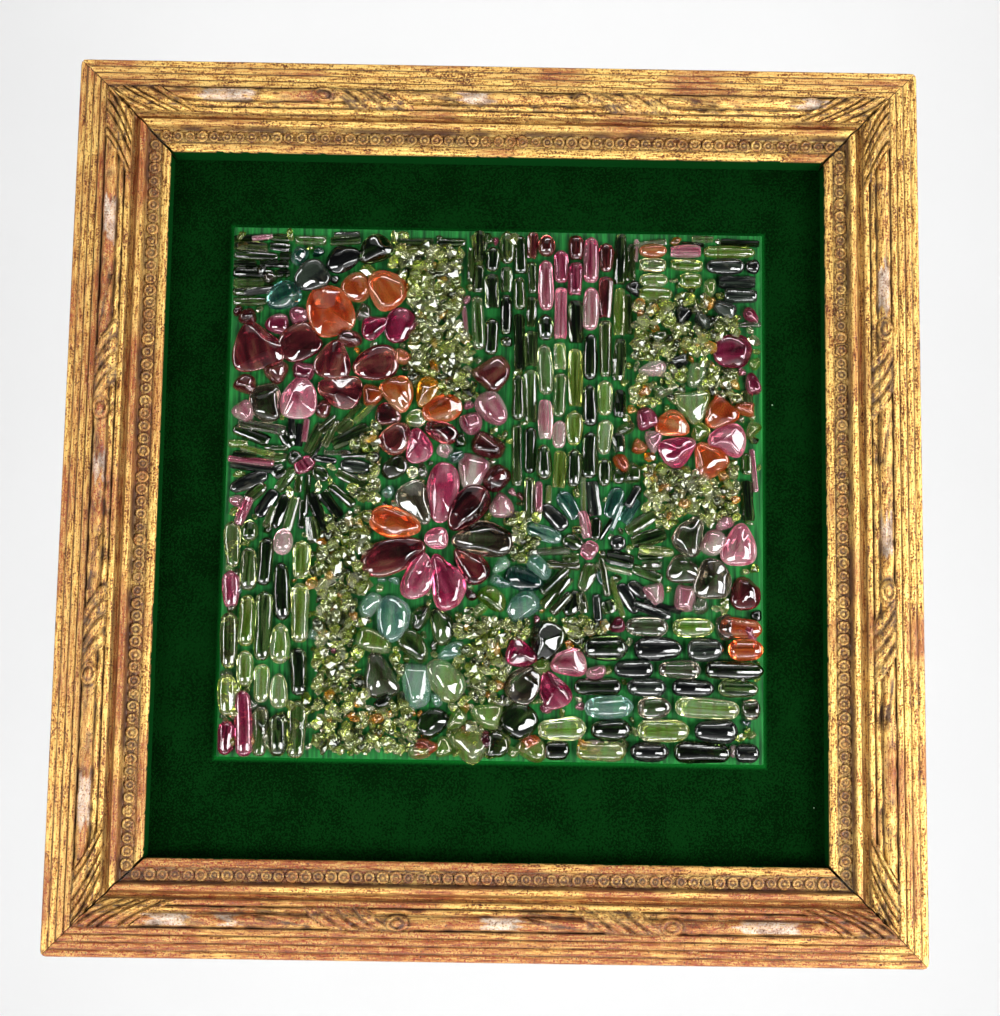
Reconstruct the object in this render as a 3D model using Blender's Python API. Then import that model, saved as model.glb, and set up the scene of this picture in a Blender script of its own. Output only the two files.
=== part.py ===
"""Framed stone mosaic: tumbled stones on a green plate, velvet ground, carved and gilded wooden frame.

Metres, +Z up. The panel hangs upright with its back on the plane y = 0 and its front towards -Y.
The origin is the middle of the flat back of the frame's top rail, where it meets the wall.
"""
import math
import random
from dataclasses import dataclass, field

import bmesh
import bpy
from mathutils import Vector

# Plate with the mosaic
PLATE_WIDTH = 0.250
PLATE_HEIGHT = 0.249
PLATE_THICKNESS = 0.003

# Velvet left bare round the plate
LEFT_MARGIN = 0.0297
RIGHT_MARGIN = 0.0281
TOP_MARGIN = 0.0334
BOTTOM_MARGIN = 0.0456

# Velvet-covered board, held in the rebate behind the frame's lip
BOARD_THICKNESS = 0.005
BACK_RECESS = 0.0042
REBATE_WIDTH = 0.006
LIP_THICKNESS = 0.0127

# Moulding, from the outer edge to the sight edge: widths across the face
REED_COUNT = 4
REED_WIDTH = 0.00345
TORUS_WIDTH = 0.0065
COLLAR_WIDTH = 0.0030
BAND_WIDTH = 0.0031
COVE_WIDTH = 0.0027
INNER_RIDGE_WIDTH = 0.0035
STEP_WIDTH = 0.0010
CHANNEL_WIDTH = 0.0060
SIGHT_FILLET_WIDTH = 0.0042

# Moulding: how far each member stands proud of the sight edge, or of the groove it rises from
OUTER_EDGE_RISE = 0.0014
REED_STEP = 0.0008
REED_RISE = 0.0010
TORUS_BASE_RISE = 0.0032
TORUS_RISE = 0.0042
COLLAR_RISE = 0.0024
BAND_BASE_RISE = 0.0034
BAND_RISE = 0.0020
COVE_DEPTH = 0.0016
INNER_RIDGE_RISE = 0.0060
CHANNEL_RISE = 0.0004
SIGHT_FILLET_RISE = 0.0010

# Carving
BEAD_PITCH = 0.0058
BEAD_SIZE = 0.0050
BEAD_RISE = 0.0020
BEAD_SIDES = 4
CLUSTER_OFFSET = 0.061
FROND_SPACING = 0.0074
FROND_COUNT = 4
FROND_LEAN = 0.0062
FROND_HALF_WIDTH = 0.0021
FROND_RISE = 0.0016
FROND_FALL = 0.0024
BUD_LENGTH = 0.0085
TAIL_LENGTH = 0.026
CORNER_LEAF_INSET = 0.007

# Stones
PEBBLE_HEIGHT = 0.0062
PEBBLE_BELLY = 0.0024
ROD_THICKNESS_SHARE = 0.7
ROD_TOP_SHARE = 0.6
ROD_TOP_SHORTER = 0.25
STONE_SEAT = 0.0005

# The picture is laid out on a square of side 1 that is stretched over the plate: shares of that side
SMALL_PEBBLE_SHARE = 0.047
THIN_ROD_SHARE = 0.020
STONE_GAP_SHARE = 0.0016
EDGE_SHARE = 0.0016
LAYOUT_SEED = 7
CLUSTER_TRIES = 260

# Clearances between pieces
FIT_GAP = 0.0003
MITRE_GAP = 0.0004

# Levels above the wall plane, and the moulding's whole width
VELVET_LEVEL = BACK_RECESS + BOARD_THICKNESS
LIP_BACK_LEVEL = VELVET_LEVEL + FIT_GAP
SIGHT_LEVEL = LIP_BACK_LEVEL + LIP_THICKNESS
PLATE_BACK_LEVEL = VELVET_LEVEL + FIT_GAP
PLATE_TOP_LEVEL = PLATE_BACK_LEVEL + PLATE_THICKNESS
REEDS_WIDTH = REED_COUNT * REED_WIDTH
TORUS_START = REEDS_WIDTH
COLLAR_START = TORUS_START + TORUS_WIDTH
BAND_START = COLLAR_START + COLLAR_WIDTH
COVE_START = BAND_START + BAND_WIDTH
INNER_RIDGE_START = COVE_START + COVE_WIDTH
STEP_START = INNER_RIDGE_START + INNER_RIDGE_WIDTH
CHANNEL_START = STEP_START + STEP_WIDTH
FILLET_START = CHANNEL_START + CHANNEL_WIDTH
MOULDING_WIDTH = FILLET_START + SIGHT_FILLET_WIDTH
TORUS_LINE = TORUS_START + TORUS_WIDTH / 2
TORUS_CREST = SIGHT_LEVEL + TORUS_BASE_RISE + TORUS_RISE
CHANNEL_LEVEL = SIGHT_LEVEL + CHANNEL_RISE
BEAD_LINE = CHANNEL_START + CHANNEL_WIDTH / 2

# Frame round the velvet, and places of frame and plate
SIGHT_WIDTH = LEFT_MARGIN + PLATE_WIDTH + RIGHT_MARGIN
SIGHT_HEIGHT = TOP_MARGIN + PLATE_HEIGHT + BOTTOM_MARGIN
FRAME_WIDTH = SIGHT_WIDTH + 2 * MOULDING_WIDTH
FRAME_HEIGHT = SIGHT_HEIGHT + 2 * MOULDING_WIDTH
BACK_FACE_WIDTH = MOULDING_WIDTH - REBATE_WIDTH
FRAME_CENTRE_Z = BACK_FACE_WIDTH / 2 - FRAME_HEIGHT / 2
PLATE_X = (LEFT_MARGIN - RIGHT_MARGIN) / 2
PLATE_Z = FRAME_CENTRE_Z + (BOTTOM_MARGIN - TOP_MARGIN) / 2

# Finishes: base colour, roughness, metallic, transmission
FINISHES = {
    "gilding": ((0.62, 0.40, 0.13), 0.38, 0.65, 0.0),
    "velvet": ((0.002, 0.03, 0.006), 0.95, 0.0, 0.0),
    "green_plate": ((0.03, 0.22, 0.07), 0.45, 0.0, 0.0),
    "maroon": ((0.10, 0.012, 0.02), 0.08, 0.0, 0.3),
    "raspberry": ((0.32, 0.02, 0.07), 0.08, 0.0, 0.3),
    "orange": ((0.50, 0.09, 0.02), 0.08, 0.0, 0.3),
    "pink": ((0.60, 0.22, 0.28), 0.08, 0.0, 0.3),
    "clear": ((0.60, 0.70, 0.62), 0.08, 0.0, 0.6),
    "smoky": ((0.16, 0.09, 0.07), 0.08, 0.0, 0.3),
    "amber": ((0.60, 0.25, 0.02), 0.08, 0.0, 0.3),
    "black": ((0.01, 0.01, 0.012), 0.08, 0.0, 0.0),
    "teal": ((0.02, 0.07, 0.09), 0.08, 0.0, 0.3),
    "dark_green": ((0.02, 0.06, 0.03), 0.08, 0.0, 0.3),
    "olive": ((0.18, 0.24, 0.08), 0.08, 0.0, 0.4),
    "aqua": ((0.22, 0.45, 0.40), 0.08, 0.0, 0.4),
}


@dataclass
class Stone:
    """A tumbled stone of the picture: place and footprint in shares of its side, height in metres."""

    name: str
    form: str
    x: float
    y: float
    length: float
    width: float
    height: float
    turn: float
    tint: str
    taper: float = 0.0
    square: float = 0.9
    wave: float = 0.0
    phase: float = 0.0

    def turned(self, px, py):
        """Return the picture's point for a point given along and across the stone."""
        ct, st = math.cos(self.turn), math.sin(self.turn)
        return self.x + px * ct - py * st, self.y + px * st + py * ct

    def rim(self, angle, share=1.0):
        """Return the point of the footprint at an angle round the stone, at a share of the way out."""
        c, s = math.cos(angle), math.sin(angle)
        ahead = math.copysign(abs(c) ** self.square, c)
        aside = math.copysign(abs(s) ** self.square, s) * (1 + self.taper * ahead)
        swell = share * (1 - self.wave * (1 + math.cos(3 * angle + self.phase)) / 2)
        return self.turned(ahead * self.length / 2 * swell, aside * self.width / 2 * swell)

    def footprint(self):
        """Return the footprint's corner points, counter-clockwise."""
        if self.form == "rod":
            hl, hw = self.length / 2, self.width / 2
            return [self.turned(px, py) for px, py in ((hl, hw), (-hl, hw), (-hl, -hw), (hl, -hw))]
        return [self.rim(math.tau * k / 16) for k in range(16)]


def apart(first, second, gap):
    """Tell whether some line parallel to an edge parts two footprints by at least the gap."""
    for polygon in (first, second):
        for k, (x0, y0) in enumerate(polygon):
            x1, y1 = polygon[(k + 1) % len(polygon)]
            nx, ny = y1 - y0, x0 - x1
            size = math.hypot(nx, ny)
            if size < 1e-9:
                continue
            one = [(x * nx + y * ny) / size for x, y in first]
            two = [(x * nx + y * ny) / size for x, y in second]
            if min(two) - max(one) >= gap or min(one) - max(two) >= gap:
                return True
    return False


def along(points, distance):
    """Return the place and direction at a distance along a run of straight stretches."""
    for (x0, y0), (x1, y1) in zip(points, points[1:]):
        step = math.dist((x0, y0), (x1, y1))
        if distance <= step:
            break
        distance -= step
    share = min(distance / step, 1.0)
    return x0 + (x1 - x0) * share, y0 + (y1 - y0) * share, math.atan2(y1 - y0, x1 - x0)


def inside(x, y, points):
    """Tell whether a point lies inside a polygon."""
    result = False
    for (x0, y0), (x1, y1) in zip(points, points[1:] + points[:1]):
        if (y0 > y) != (y1 > y) and x < (x1 - x0) * (y - y0) / (y1 - y0) + x0:
            result = not result
    return result


def spot(right, down):
    """Return the picture's point, from its middle, at a share from the left and a share from the top."""
    return right - 0.5, 0.5 - down


@dataclass
class Mosaic:
    """The stones laid on the plate so far, and the draws that vary them."""

    stones: list = field(default_factory=list)
    prints: list = field(default_factory=list)
    draw: random.Random = field(default_factory=lambda: random.Random(LAYOUT_SEED))

    def free(self, stone):
        """Tell whether a stone lies on the plate and clear of every stone laid before."""
        shape = stone.footprint()
        if any(max(abs(x), abs(y)) > 0.5 - EDGE_SHARE for x, y in shape):
            return False
        reach = stone.length + stone.width
        for other, other_shape in zip(self.stones, self.prints):
            near = (reach + other.length + other.width) / 2
            if math.hypot(other.x - stone.x, other.y - stone.y) < near:
                if not apart(shape, other_shape, STONE_GAP_SHARE):
                    return False
        return True

    def lay(self, stone, shrinks=0):
        """Lay a stone where it is free, after making it a little smaller a few times if need be."""
        for _ in range(shrinks + 1):
            if self.free(stone):
                self.stones.append(stone)
                self.prints.append(stone.footprint())
                return True
            stone.length *= 0.96
            stone.width *= 0.94
        return False

    def flower(self, name, right, down, start, ring, size, heart_size, tints, heart):
        """Lay petals, one for each tint, in a ring round a small heart stone."""
        cx, cy = spot(right, down)
        length, width = size
        self.lay(Stone(f"{name}_heart", "pebble", cx, cy, heart_size, heart_size * 0.86,
                       PEBBLE_HEIGHT * 0.9, start, heart, wave=0.1))
        for k, tint in enumerate(tints):
            angle = start + math.tau * k / len(tints) + self.draw.uniform(-0.06, 0.06)
            out = ring * self.draw.uniform(0.96, 1.08)
            stone = Stone(
                name=f"{name}_petal_{k + 1}", form="pebble",
                x=cx + out * math.cos(angle), y=cy + out * math.sin(angle),
                length=length * self.draw.uniform(0.9, 1.12), width=width * self.draw.uniform(0.9, 1.1),
                height=PEBBLE_HEIGHT * self.draw.uniform(0.9, 1.15),
                turn=angle + self.draw.uniform(-0.15, 0.15), tint=tint,
                taper=0.32, square=0.86, wave=self.draw.uniform(0.05, 0.16),
                phase=self.draw.uniform(0, math.tau),
            )
            self.lay(stone, shrinks=14)

    def pebble(self, name, x, y, length, slim, tints, turn=None):
        """Return a pebble with drawn proportions, tint and turn."""
        return Stone(
            name=name, form="pebble", x=x, y=y, length=length, width=length * self.draw.uniform(*slim),
            height=PEBBLE_HEIGHT * self.draw.uniform(0.8, 1.1),
            turn=self.draw.uniform(0, math.pi) if turn is None else turn,
            tint=self.draw.choice(tints), taper=self.draw.uniform(-0.3, 0.3),
            square=self.draw.uniform(0.72, 1.0), wave=self.draw.uniform(0.0, 0.2),
            phase=self.draw.uniform(0, math.tau),
        )

    def chain(self, name, route, slim, tints):
        """Lay pebbles, one for each tint, one after another along a route."""
        points = [spot(*p) for p in route]
        step = sum(math.dist(a, b) for a, b in zip(points, points[1:])) / len(tints)
        for k, tint in enumerate(tints):
            x, y, turn = along(points, (k + 0.5) * step)
            lean = turn + self.draw.uniform(-0.3, 0.3)
            stone = self.pebble(f"{name}_{k + 1}", x, y, step - STONE_GAP_SHARE, slim, (tint,), lean)
            self.lay(stone, shrinks=14)

    def cluster(self, name, corners, sizes, tints, named=0, slim=(0.66, 0.95)):
        """Fill a region with pebbles, by pairs of length and most in number; the first ones have names."""
        points = [spot(*p) for p in corners]
        xs, ys = [p[0] for p in points], [p[1] for p in points]
        count = 0
        for length, most in sizes:
            last = count + most
            for _ in range(CLUSTER_TRIES):
                x, y = self.draw.uniform(min(xs), max(xs)), self.draw.uniform(min(ys), max(ys))
                if count < last and inside(x, y, points):
                    label = f"{name}_{count + 1}" if count < named else ""
                    if self.lay(self.pebble(label, x, y, length, slim, tints)):
                        count += 1

    def rod(self, x, y, length, width, turn, tint):
        """Lay a rod, shortened where it would meet a neighbour."""
        for share in (1.0, 0.8, 0.62, 0.48):
            height = width * PLATE_WIDTH * ROD_THICKNESS_SHARE
            if self.lay(Stone("", "rod", x, y, length * share, width, height, turn, tint)):
                return

    def rod_rows(self, left, top, right, bottom, upright, widths, lengths, tints, patches=()):
        """Fill a block with rows of rods laid end to end, each row starting at its own place."""
        x0, y1 = spot(left, top)
        x1, y0 = spot(right, bottom)
        low, high = (x0, x1) if upright else (y0, y1)
        first, last = (y0, y1) if upright else (x0, x1)
        lean = math.pi / 2 if upright else 0.0
        across = low + 2 * EDGE_SHARE
        width = self.draw.uniform(*widths)
        while across + width < high:
            place = first - self.draw.uniform(0, lengths[0] / 2)
            while place < last:
                full = self.draw.uniform(*lengths)
                begin, end = max(place, first + 2 * EDGE_SHARE), min(place + full, last - 2 * EDGE_SHARE)
                place += full + STONE_GAP_SHARE
                if end - begin < width:
                    continue
                middle, side = (begin + end) / 2, across + width / 2
                x, y = (side, middle) if upright else (middle, side)
                options = tints
                for patch_right, patch_down, radius, patch_tints in patches:
                    if math.dist((x, y), spot(patch_right, patch_down)) < radius:
                        options = patch_tints
                turn = lean + self.draw.uniform(-0.03, 0.03)
                rod_width = width * self.draw.uniform(0.86, 0.98)
                self.rod(x, y, end - begin, rod_width, turn, self.draw.choice(options))
            across += width + STONE_GAP_SHARE
            width = self.draw.uniform(*widths)

    def burst(self, right, down, rings, widths, tints):
        """Lay thin rods that point away from a centre, in rings of inner radius, length and number."""
        cx, cy = spot(right, down)
        for inner, length, count in rings:
            start = self.draw.uniform(0, math.tau)
            for k in range(count):
                angle = start + math.tau * k / count + self.draw.uniform(-0.1, 0.1)
                out = inner + length / 2
                width = self.draw.uniform(*widths)
                turn = angle + self.draw.uniform(-0.12, 0.12)
                self.rod(cx + out * math.cos(angle), cy + out * math.sin(angle),
                         length * self.draw.uniform(0.8, 1.1), width, turn, self.draw.choice(tints))


def lay_flowers(mosaic):
    """Lay the four flowers of the picture."""
    mosaic.flower("left_flower", 0.351, 0.366, 0.38, 0.053, (0.066, 0.052), 0.034,
                  ("orange", "amber", "orange", "maroon", "maroon", "raspberry", "maroon"), "clear")
    mosaic.flower("centre_flower", 0.395, 0.592, 0.07, 0.079, (0.096, 0.061), 0.042,
                  ("smoky", "maroon", "raspberry", "smoky", "orange", "maroon", "raspberry", "raspberry",
                   "maroon"), "pink")
    mosaic.flower("right_flower", 0.883, 0.383, 0.78, 0.052, (0.064, 0.054), 0.034,
                  ("orange", "clear", "orange", "raspberry", "orange", "pink"), "clear")
    mosaic.flower("lower_flower", 0.594, 0.826, 0.17, 0.046, (0.062, 0.052), 0.028,
                  ("pink", "dark_green", "raspberry", "smoky", "raspberry"), "clear")


def lay_pebbles(mosaic):
    """Lay the pebbles: a dark chain, a field of garnet tones, and smaller groups."""
    mosaic.chain("dark_pebble", ((0.075, 0.155), (0.145, 0.1), (0.2, 0.062), (0.3, 0.035)), (0.74, 0.86),
                 ("teal", "black", "black", "dark_green"))
    garnet_field = ((0.0, 0.165), (0.1, 0.185), (0.2, 0.12), (0.3, 0.1), (0.335, 0.26), (0.27, 0.34),
                    (0.17, 0.375), (0.0, 0.36))
    mosaic.cluster("garnet_pebble", garnet_field,
                   ((0.088, 2), (0.072, 6), (0.062, 9), (0.052, 12), (0.042, 16), (0.034, 20)),
                   ("maroon", "raspberry", "maroon", "orange", "maroon", "pink", "raspberry", "smoky"),
                   named=11)
    mosaic.cluster("rose_pebble", ((0.85, 0.555), (1.0, 0.555), (1.0, 0.695), (0.85, 0.695)),
                   ((0.072, 3), (0.06, 3), (0.048, 4), (0.034, 6)), ("pink", "smoky", "maroon", "pink"),
                   named=3)
    mosaic.cluster("", ((0.93, 0.2), (0.99, 0.2), (0.99, 0.28), (0.93, 0.28)), ((0.07, 1),), ("raspberry",))
    mosaic.cluster("", ((0.455, 0.26), (0.515, 0.26), (0.515, 0.53), (0.455, 0.53)),
                   ((0.062, 4), (0.05, 4), (0.036, 4)), ("raspberry", "maroon", "pink"))
    mosaic.cluster("", ((0.27, 0.7), (0.44, 0.74), (0.43, 0.9), (0.3, 0.9)),
                   ((0.08, 4), (0.068, 4), (0.05, 6), (0.036, 6)),
                   ("smoky", "dark_green", "aqua", "olive", "clear"), slim=(0.5, 0.7))
    mosaic.cluster("", ((0.5, 0.63), (0.585, 0.63), (0.585, 0.735), (0.5, 0.735)),
                   ((0.066, 2), (0.05, 2), (0.036, 4)), ("aqua", "teal", "clear"), slim=(0.5, 0.72))
    mosaic.cluster("", ((0.36, 0.9), (0.58, 0.93), (0.58, 1.0), (0.36, 1.0)),
                   ((0.064, 3), (0.054, 4), (0.042, 6), (0.034, 8)),
                   ("clear", "olive", "dark_green", "clear"))
    mosaic.cluster("", ((0.76, 0.1), (0.93, 0.1), (0.93, 0.32), (0.76, 0.32)),
                   ((0.046, 3), (0.036, 6)), ("clear", "olive", "black", "pink"), slim=(0.5, 0.7))


def lay_rods(mosaic):
    """Lay the rods: two bursts, and blocks of upright and level rows."""
    mosaic.burst(0.138, 0.447, ((0.0, 0.028, 1),), (0.020, 0.024), ("pink", "raspberry"))
    mosaic.burst(0.138, 0.447, ((0.022, 0.05, 12), (0.076, 0.056, 24)), (0.0125, 0.0165),
                 ("dark_green", "dark_green", "olive", "black"))
    mosaic.burst(0.689, 0.615, ((0.0, 0.028, 1),), (0.020, 0.024), ("pink", "aqua"))
    mosaic.burst(0.689, 0.615, ((0.022, 0.05, 11), (0.076, 0.054, 20)), (0.0145, 0.0195),
                 ("black", "dark_green", "teal", "dark_green", "olive"))
    mosaic.rod_rows(0.0, 0.0, 0.115, 0.155, False, (0.0135, 0.0175), (0.068, 0.112),
                    ("dark_green", "olive", "dark_green"))
    mosaic.rod_rows(0.115, 0.0, 0.45, 0.036, False, (0.0145, 0.0185), (0.056, 0.084),
                    ("dark_green", "olive"))
    mosaic.rod_rows(0.45, 0.0, 0.765, 0.56, True, (0.0205, 0.028), (0.055, 0.11),
                    ("dark_green", "dark_green", "olive", "clear", "dark_green"),
                    ((0.66, 0.1, 0.075, ("pink", "raspberry", "maroon")), (0.6, 0.39, 0.035, ("pink",)),
                     (0.61, 0.29, 0.03, ("olive",)), (0.59, 0.03, 0.03, ("maroon",)),
                     (0.705, 0.03, 0.02, ("orange",))))
    mosaic.rod_rows(0.765, 0.0, 1.0, 0.135, False, (0.024, 0.029), (0.068, 0.1),
                    ("dark_green", "black", "olive", "clear"),
                    ((0.78, 0.02, 0.03, ("orange",)), (0.86, 0.02, 0.04, ("pink", "raspberry")),
                     (0.97, 0.02, 0.035, ("raspberry", "pink"))))
    mosaic.rod_rows(0.955, 0.3, 1.0, 0.55, True, (0.0185, 0.023), (0.06, 0.088), ("dark_green", "olive"))
    mosaic.rod_rows(0.585, 0.7, 1.0, 1.0, False, (0.031, 0.041), (0.068, 0.115),
                    ("dark_green", "black", "dark_green", "black", "smoky", "clear"),
                    ((0.97, 0.77, 0.035, ("orange",)), (0.73, 0.91, 0.03, ("aqua",)),
                     (0.865, 0.71, 0.03, ("teal",)), (0.93, 0.84, 0.05, ("black", "dark_green"))))
    mosaic.rod_rows(0.0, 0.56, 0.185, 1.0, True, (0.025, 0.034), (0.08, 0.13),
                    ("olive", "clear", "dark_green", "olive"),
                    ((0.02, 0.7, 0.045, ("raspberry",)), (0.02, 0.93, 0.04, ("raspberry",)),
                     (0.13, 0.6, 0.03, ("pink",)), (0.17, 0.9, 0.03, ("aqua",)),
                     (0.05, 0.78, 0.02, ("smoky",))))


def clear_scene():
    """Remove whatever the file starts with."""
    for thing in list(bpy.data.objects):
        bpy.data.objects.remove(thing, do_unlink=True)


def finish(name):
    """Return the material of a finish, made once."""
    if name in bpy.data.materials:
        return bpy.data.materials[name]
    colour, roughness, metallic, transmission = FINISHES[name]
    material = bpy.data.materials.new(name)
    material.use_nodes = True
    shader = material.node_tree.nodes["Principled BSDF"]
    shader.inputs["Base Color"].default_value = (*colour, 1.0)
    shader.inputs["Roughness"].default_value = roughness
    shader.inputs["Metallic"].default_value = metallic
    shader.inputs["Transmission Weight"].default_value = transmission
    return material


def add_object(name, bm, collection, material=None):
    """Turn a bmesh into an object with outward faces in a collection."""
    bm.normal_update()
    bmesh.ops.recalc_face_normals(bm, faces=bm.faces)
    mesh = bpy.data.meshes.new(name)
    bm.to_mesh(mesh)
    bm.free()
    if material:
        mesh.materials.append(finish(material))
    thing = bpy.data.objects.new(name, mesh)
    collection.objects.link(thing)
    return thing


def merge(thing, other):
    """Join another closed shape to an object with a Boolean union and hide that shape."""
    union = thing.modifiers.new(other.name, "BOOLEAN")
    union.operation = "UNION"
    union.solver = "EXACT"
    union.use_self = True
    union.object = other
    other.hide_render = True
    other.display_type = "WIRE"


def half_round(start, width, base, rise, steps):
    """Return the points of a half-round member, without its last one."""
    points = []
    for k in range(steps):
        turn = math.pi * k / steps
        points.append((start + width * (1 - math.cos(turn)) / 2, base + rise * math.sin(turn)))
    return points


def moulding_face():
    """Return the moulding's front from the outer edge to the sight edge, as (across, level) points."""
    points = []
    for reed in range(REED_COUNT):
        base = SIGHT_LEVEL + OUTER_EDGE_RISE + reed * REED_STEP
        points += half_round(reed * REED_WIDTH, REED_WIDTH, base, REED_RISE, 3)
    torus_base = SIGHT_LEVEL + TORUS_BASE_RISE
    band_base = SIGHT_LEVEL + BAND_BASE_RISE
    points += half_round(TORUS_START, TORUS_WIDTH, torus_base, TORUS_RISE, 3)
    points += half_round(COLLAR_START, COLLAR_WIDTH, torus_base, COLLAR_RISE, 2)
    points += half_round(BAND_START, BAND_WIDTH, band_base, BAND_RISE, 2)
    points.append((COVE_START, band_base))
    points.append((COVE_START + COVE_WIDTH / 2, band_base - COVE_DEPTH))
    ridge_top = SIGHT_LEVEL + INNER_RIDGE_RISE
    points.append((INNER_RIDGE_START, band_base))
    points.append((INNER_RIDGE_START + INNER_RIDGE_WIDTH / 3, ridge_top))
    points.append((STEP_START, ridge_top))
    points.append((CHANNEL_START, CHANNEL_LEVEL))
    points.append((FILLET_START, CHANNEL_LEVEL))
    points.append((FILLET_START + SIGHT_FILLET_WIDTH / 3, SIGHT_LEVEL + SIGHT_FILLET_RISE))
    points.append((MOULDING_WIDTH - SIGHT_FILLET_WIDTH / 4, SIGHT_LEVEL + SIGHT_FILLET_RISE))
    points.append((MOULDING_WIDTH, SIGHT_LEVEL))
    return points


def moulding_outline():
    """Return the closed section of a rail: its face, the lip's back, the rebate and the flat back."""
    lip_back = [(MOULDING_WIDTH, LIP_BACK_LEVEL), (BACK_FACE_WIDTH, LIP_BACK_LEVEL)]
    return moulding_face() + lip_back + [(BACK_FACE_WIDTH, 0.0), (0.0, 0.0)]


@dataclass
class Side:
    """One side of the frame: the middle of its outer edge, and its directions in the panel."""

    name: str
    middle: tuple
    along: tuple
    inward: tuple
    length: float

    def place(self, along_rail, across, level):
        """Return the point of the room for a place along, across and above a rail."""
        x = self.middle[0] + self.along[0] * along_rail + self.inward[0] * across
        up = self.middle[1] + self.along[1] * along_rail + self.inward[1] * across
        return Vector((x, -level, FRAME_CENTRE_Z + up))


SIDES = (
    Side("top", (0.0, FRAME_HEIGHT / 2), (1, 0), (0, -1), FRAME_WIDTH),
    Side("right", (FRAME_WIDTH / 2, 0.0), (0, -1), (-1, 0), FRAME_HEIGHT),
    Side("bottom", (0.0, -FRAME_HEIGHT / 2), (-1, 0), (0, 1), FRAME_WIDTH),
    Side("left", (-FRAME_WIDTH / 2, 0.0), (0, 1), (1, 0), FRAME_HEIGHT),
)


def rail_body(side, collection):
    """Extrude the moulding's section along a side and mitre both ends."""
    bm = bmesh.new()
    corners = [bm.verts.new((0.0, across, level)) for across, level in moulding_outline()]
    section = bm.faces.new(corners)
    extruded = bmesh.ops.extrude_face_region(bm, geom=[section])
    far_end = {v for v in extruded["geom"] if isinstance(v, bmesh.types.BMVert)}
    for v in bm.verts:
        reach = side.length / 2 - v.co.y - MITRE_GAP / math.sqrt(2)
        v.co = side.place(reach if v in far_end else -reach, v.co.y, v.co.z)
    return add_object(f"frame_rail_{side.name}", bm, collection, "gilding")


def add_beads(bm, side):
    """Add the row of beads that lies in the channel beside the sight edge."""
    room = side.length - 2 * (BEAD_LINE + math.sqrt(2) * (BEAD_SIZE / 2 + MITRE_GAP))
    count = int(room / BEAD_PITCH)
    for k in range(count + 1):
        place = room * (k / count - 0.5)
        made = bmesh.ops.create_cone(bm, cap_ends=True, segments=BEAD_SIDES, radius1=BEAD_SIZE / 2,
                                     radius2=0.0, depth=BEAD_RISE)
        for v in made["verts"]:
            level = CHANNEL_LEVEL - FIT_GAP + BEAD_RISE / 2 + v.co.z
            v.co = side.place(place + v.co.x, BEAD_LINE + v.co.y, level)


def add_frond(bm, side, start, end, half_width, rise, fall, bow):
    """Add one leaf lobe: a long swelling from start to end, bowed sideways, its ends sinking in."""
    made = bmesh.ops.create_uvsphere(bm, u_segments=4, v_segments=3, radius=1.0)
    run_along, run_across = end[0] - start[0], end[1] - start[1]
    run = math.hypot(run_along, run_across)
    for v in made["verts"]:
        gone = (v.co.z + 1) / 2
        sideways = v.co.x * half_width + bow * math.sin(math.pi * gone)
        place = start[0] + run_along * gone - run_across / run * sideways
        across = start[1] + run_across * gone + run_along / run * sideways
        level = TORUS_CREST - fall * (2 * gone - 1) ** 2 + v.co.y * rise
        v.co = side.place(place, across, level)


def add_leaves(bm, side):
    """Add the carved leaves: a bud, leaning fronds and a tail, twice on the rail, and corner leaves."""
    across_start = TORUS_START
    across_end = BAND_START
    lobe = (FROND_HALF_WIDTH, FROND_RISE, FROND_FALL, FROND_HALF_WIDTH / 2)
    for centre in (-CLUSTER_OFFSET, CLUSTER_OFFSET):
        first = centre - FROND_SPACING * (FROND_COUNT - 1) / 2
        for k in range(FROND_COUNT):
            place = first + k * FROND_SPACING
            add_frond(bm, side, (place - FROND_LEAN, across_start), (place + FROND_LEAN, across_end), *lobe)
        bud = first - FROND_LEAN - BUD_LENGTH
        add_frond(bm, side, (bud, TORUS_LINE), (bud + BUD_LENGTH, TORUS_LINE), TORUS_WIDTH / 2,
                  FROND_RISE, 0.0, 0.0)
        tail = first + FROND_COUNT * FROND_SPACING
        add_frond(bm, side, (tail, TORUS_LINE), (tail + TAIL_LENGTH, COLLAR_START), FROND_HALF_WIDTH / 2,
                  FROND_RISE, FROND_FALL, FROND_HALF_WIDTH)
    for end in (-1, 1):
        place = end * (side.length / 2 - across_end - CORNER_LEAF_INSET)
        add_frond(bm, side, (place - end * FROND_LEAN / 2, across_end),
                  (place + end * FROND_LEAN, across_start), *lobe)


def build_rail(side, pieces, shapes):
    """Build a rail: its moulding with the beads and leaves carved on it."""
    rail = rail_body(side, pieces)
    beads, leaves = bmesh.new(), bmesh.new()
    add_beads(beads, side)
    add_leaves(leaves, side)
    merge(rail, add_object(f"beads_{side.name}", beads, shapes))
    merge(rail, add_object(f"leaves_{side.name}", leaves, shapes))


def build_slab(name, centre_x, centre_z, width, height, low, high, material, collection):
    """Build a flat board that lies between two levels."""
    bm = bmesh.new()
    bmesh.ops.create_cube(bm, size=1.0)
    for v in bm.verts:
        level = low + (v.co.z + 0.5) * (high - low)
        v.co = Vector((centre_x + v.co.x * width, -level, centre_z + v.co.y * height))
    return add_object(name, bm, collection, material)


def on_plate(x, y, level):
    """Return the point of the room for a point of the picture at a level."""
    return Vector((PLATE_X + x * PLATE_WIDTH, -level, PLATE_Z + y * PLATE_HEIGHT))


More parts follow.
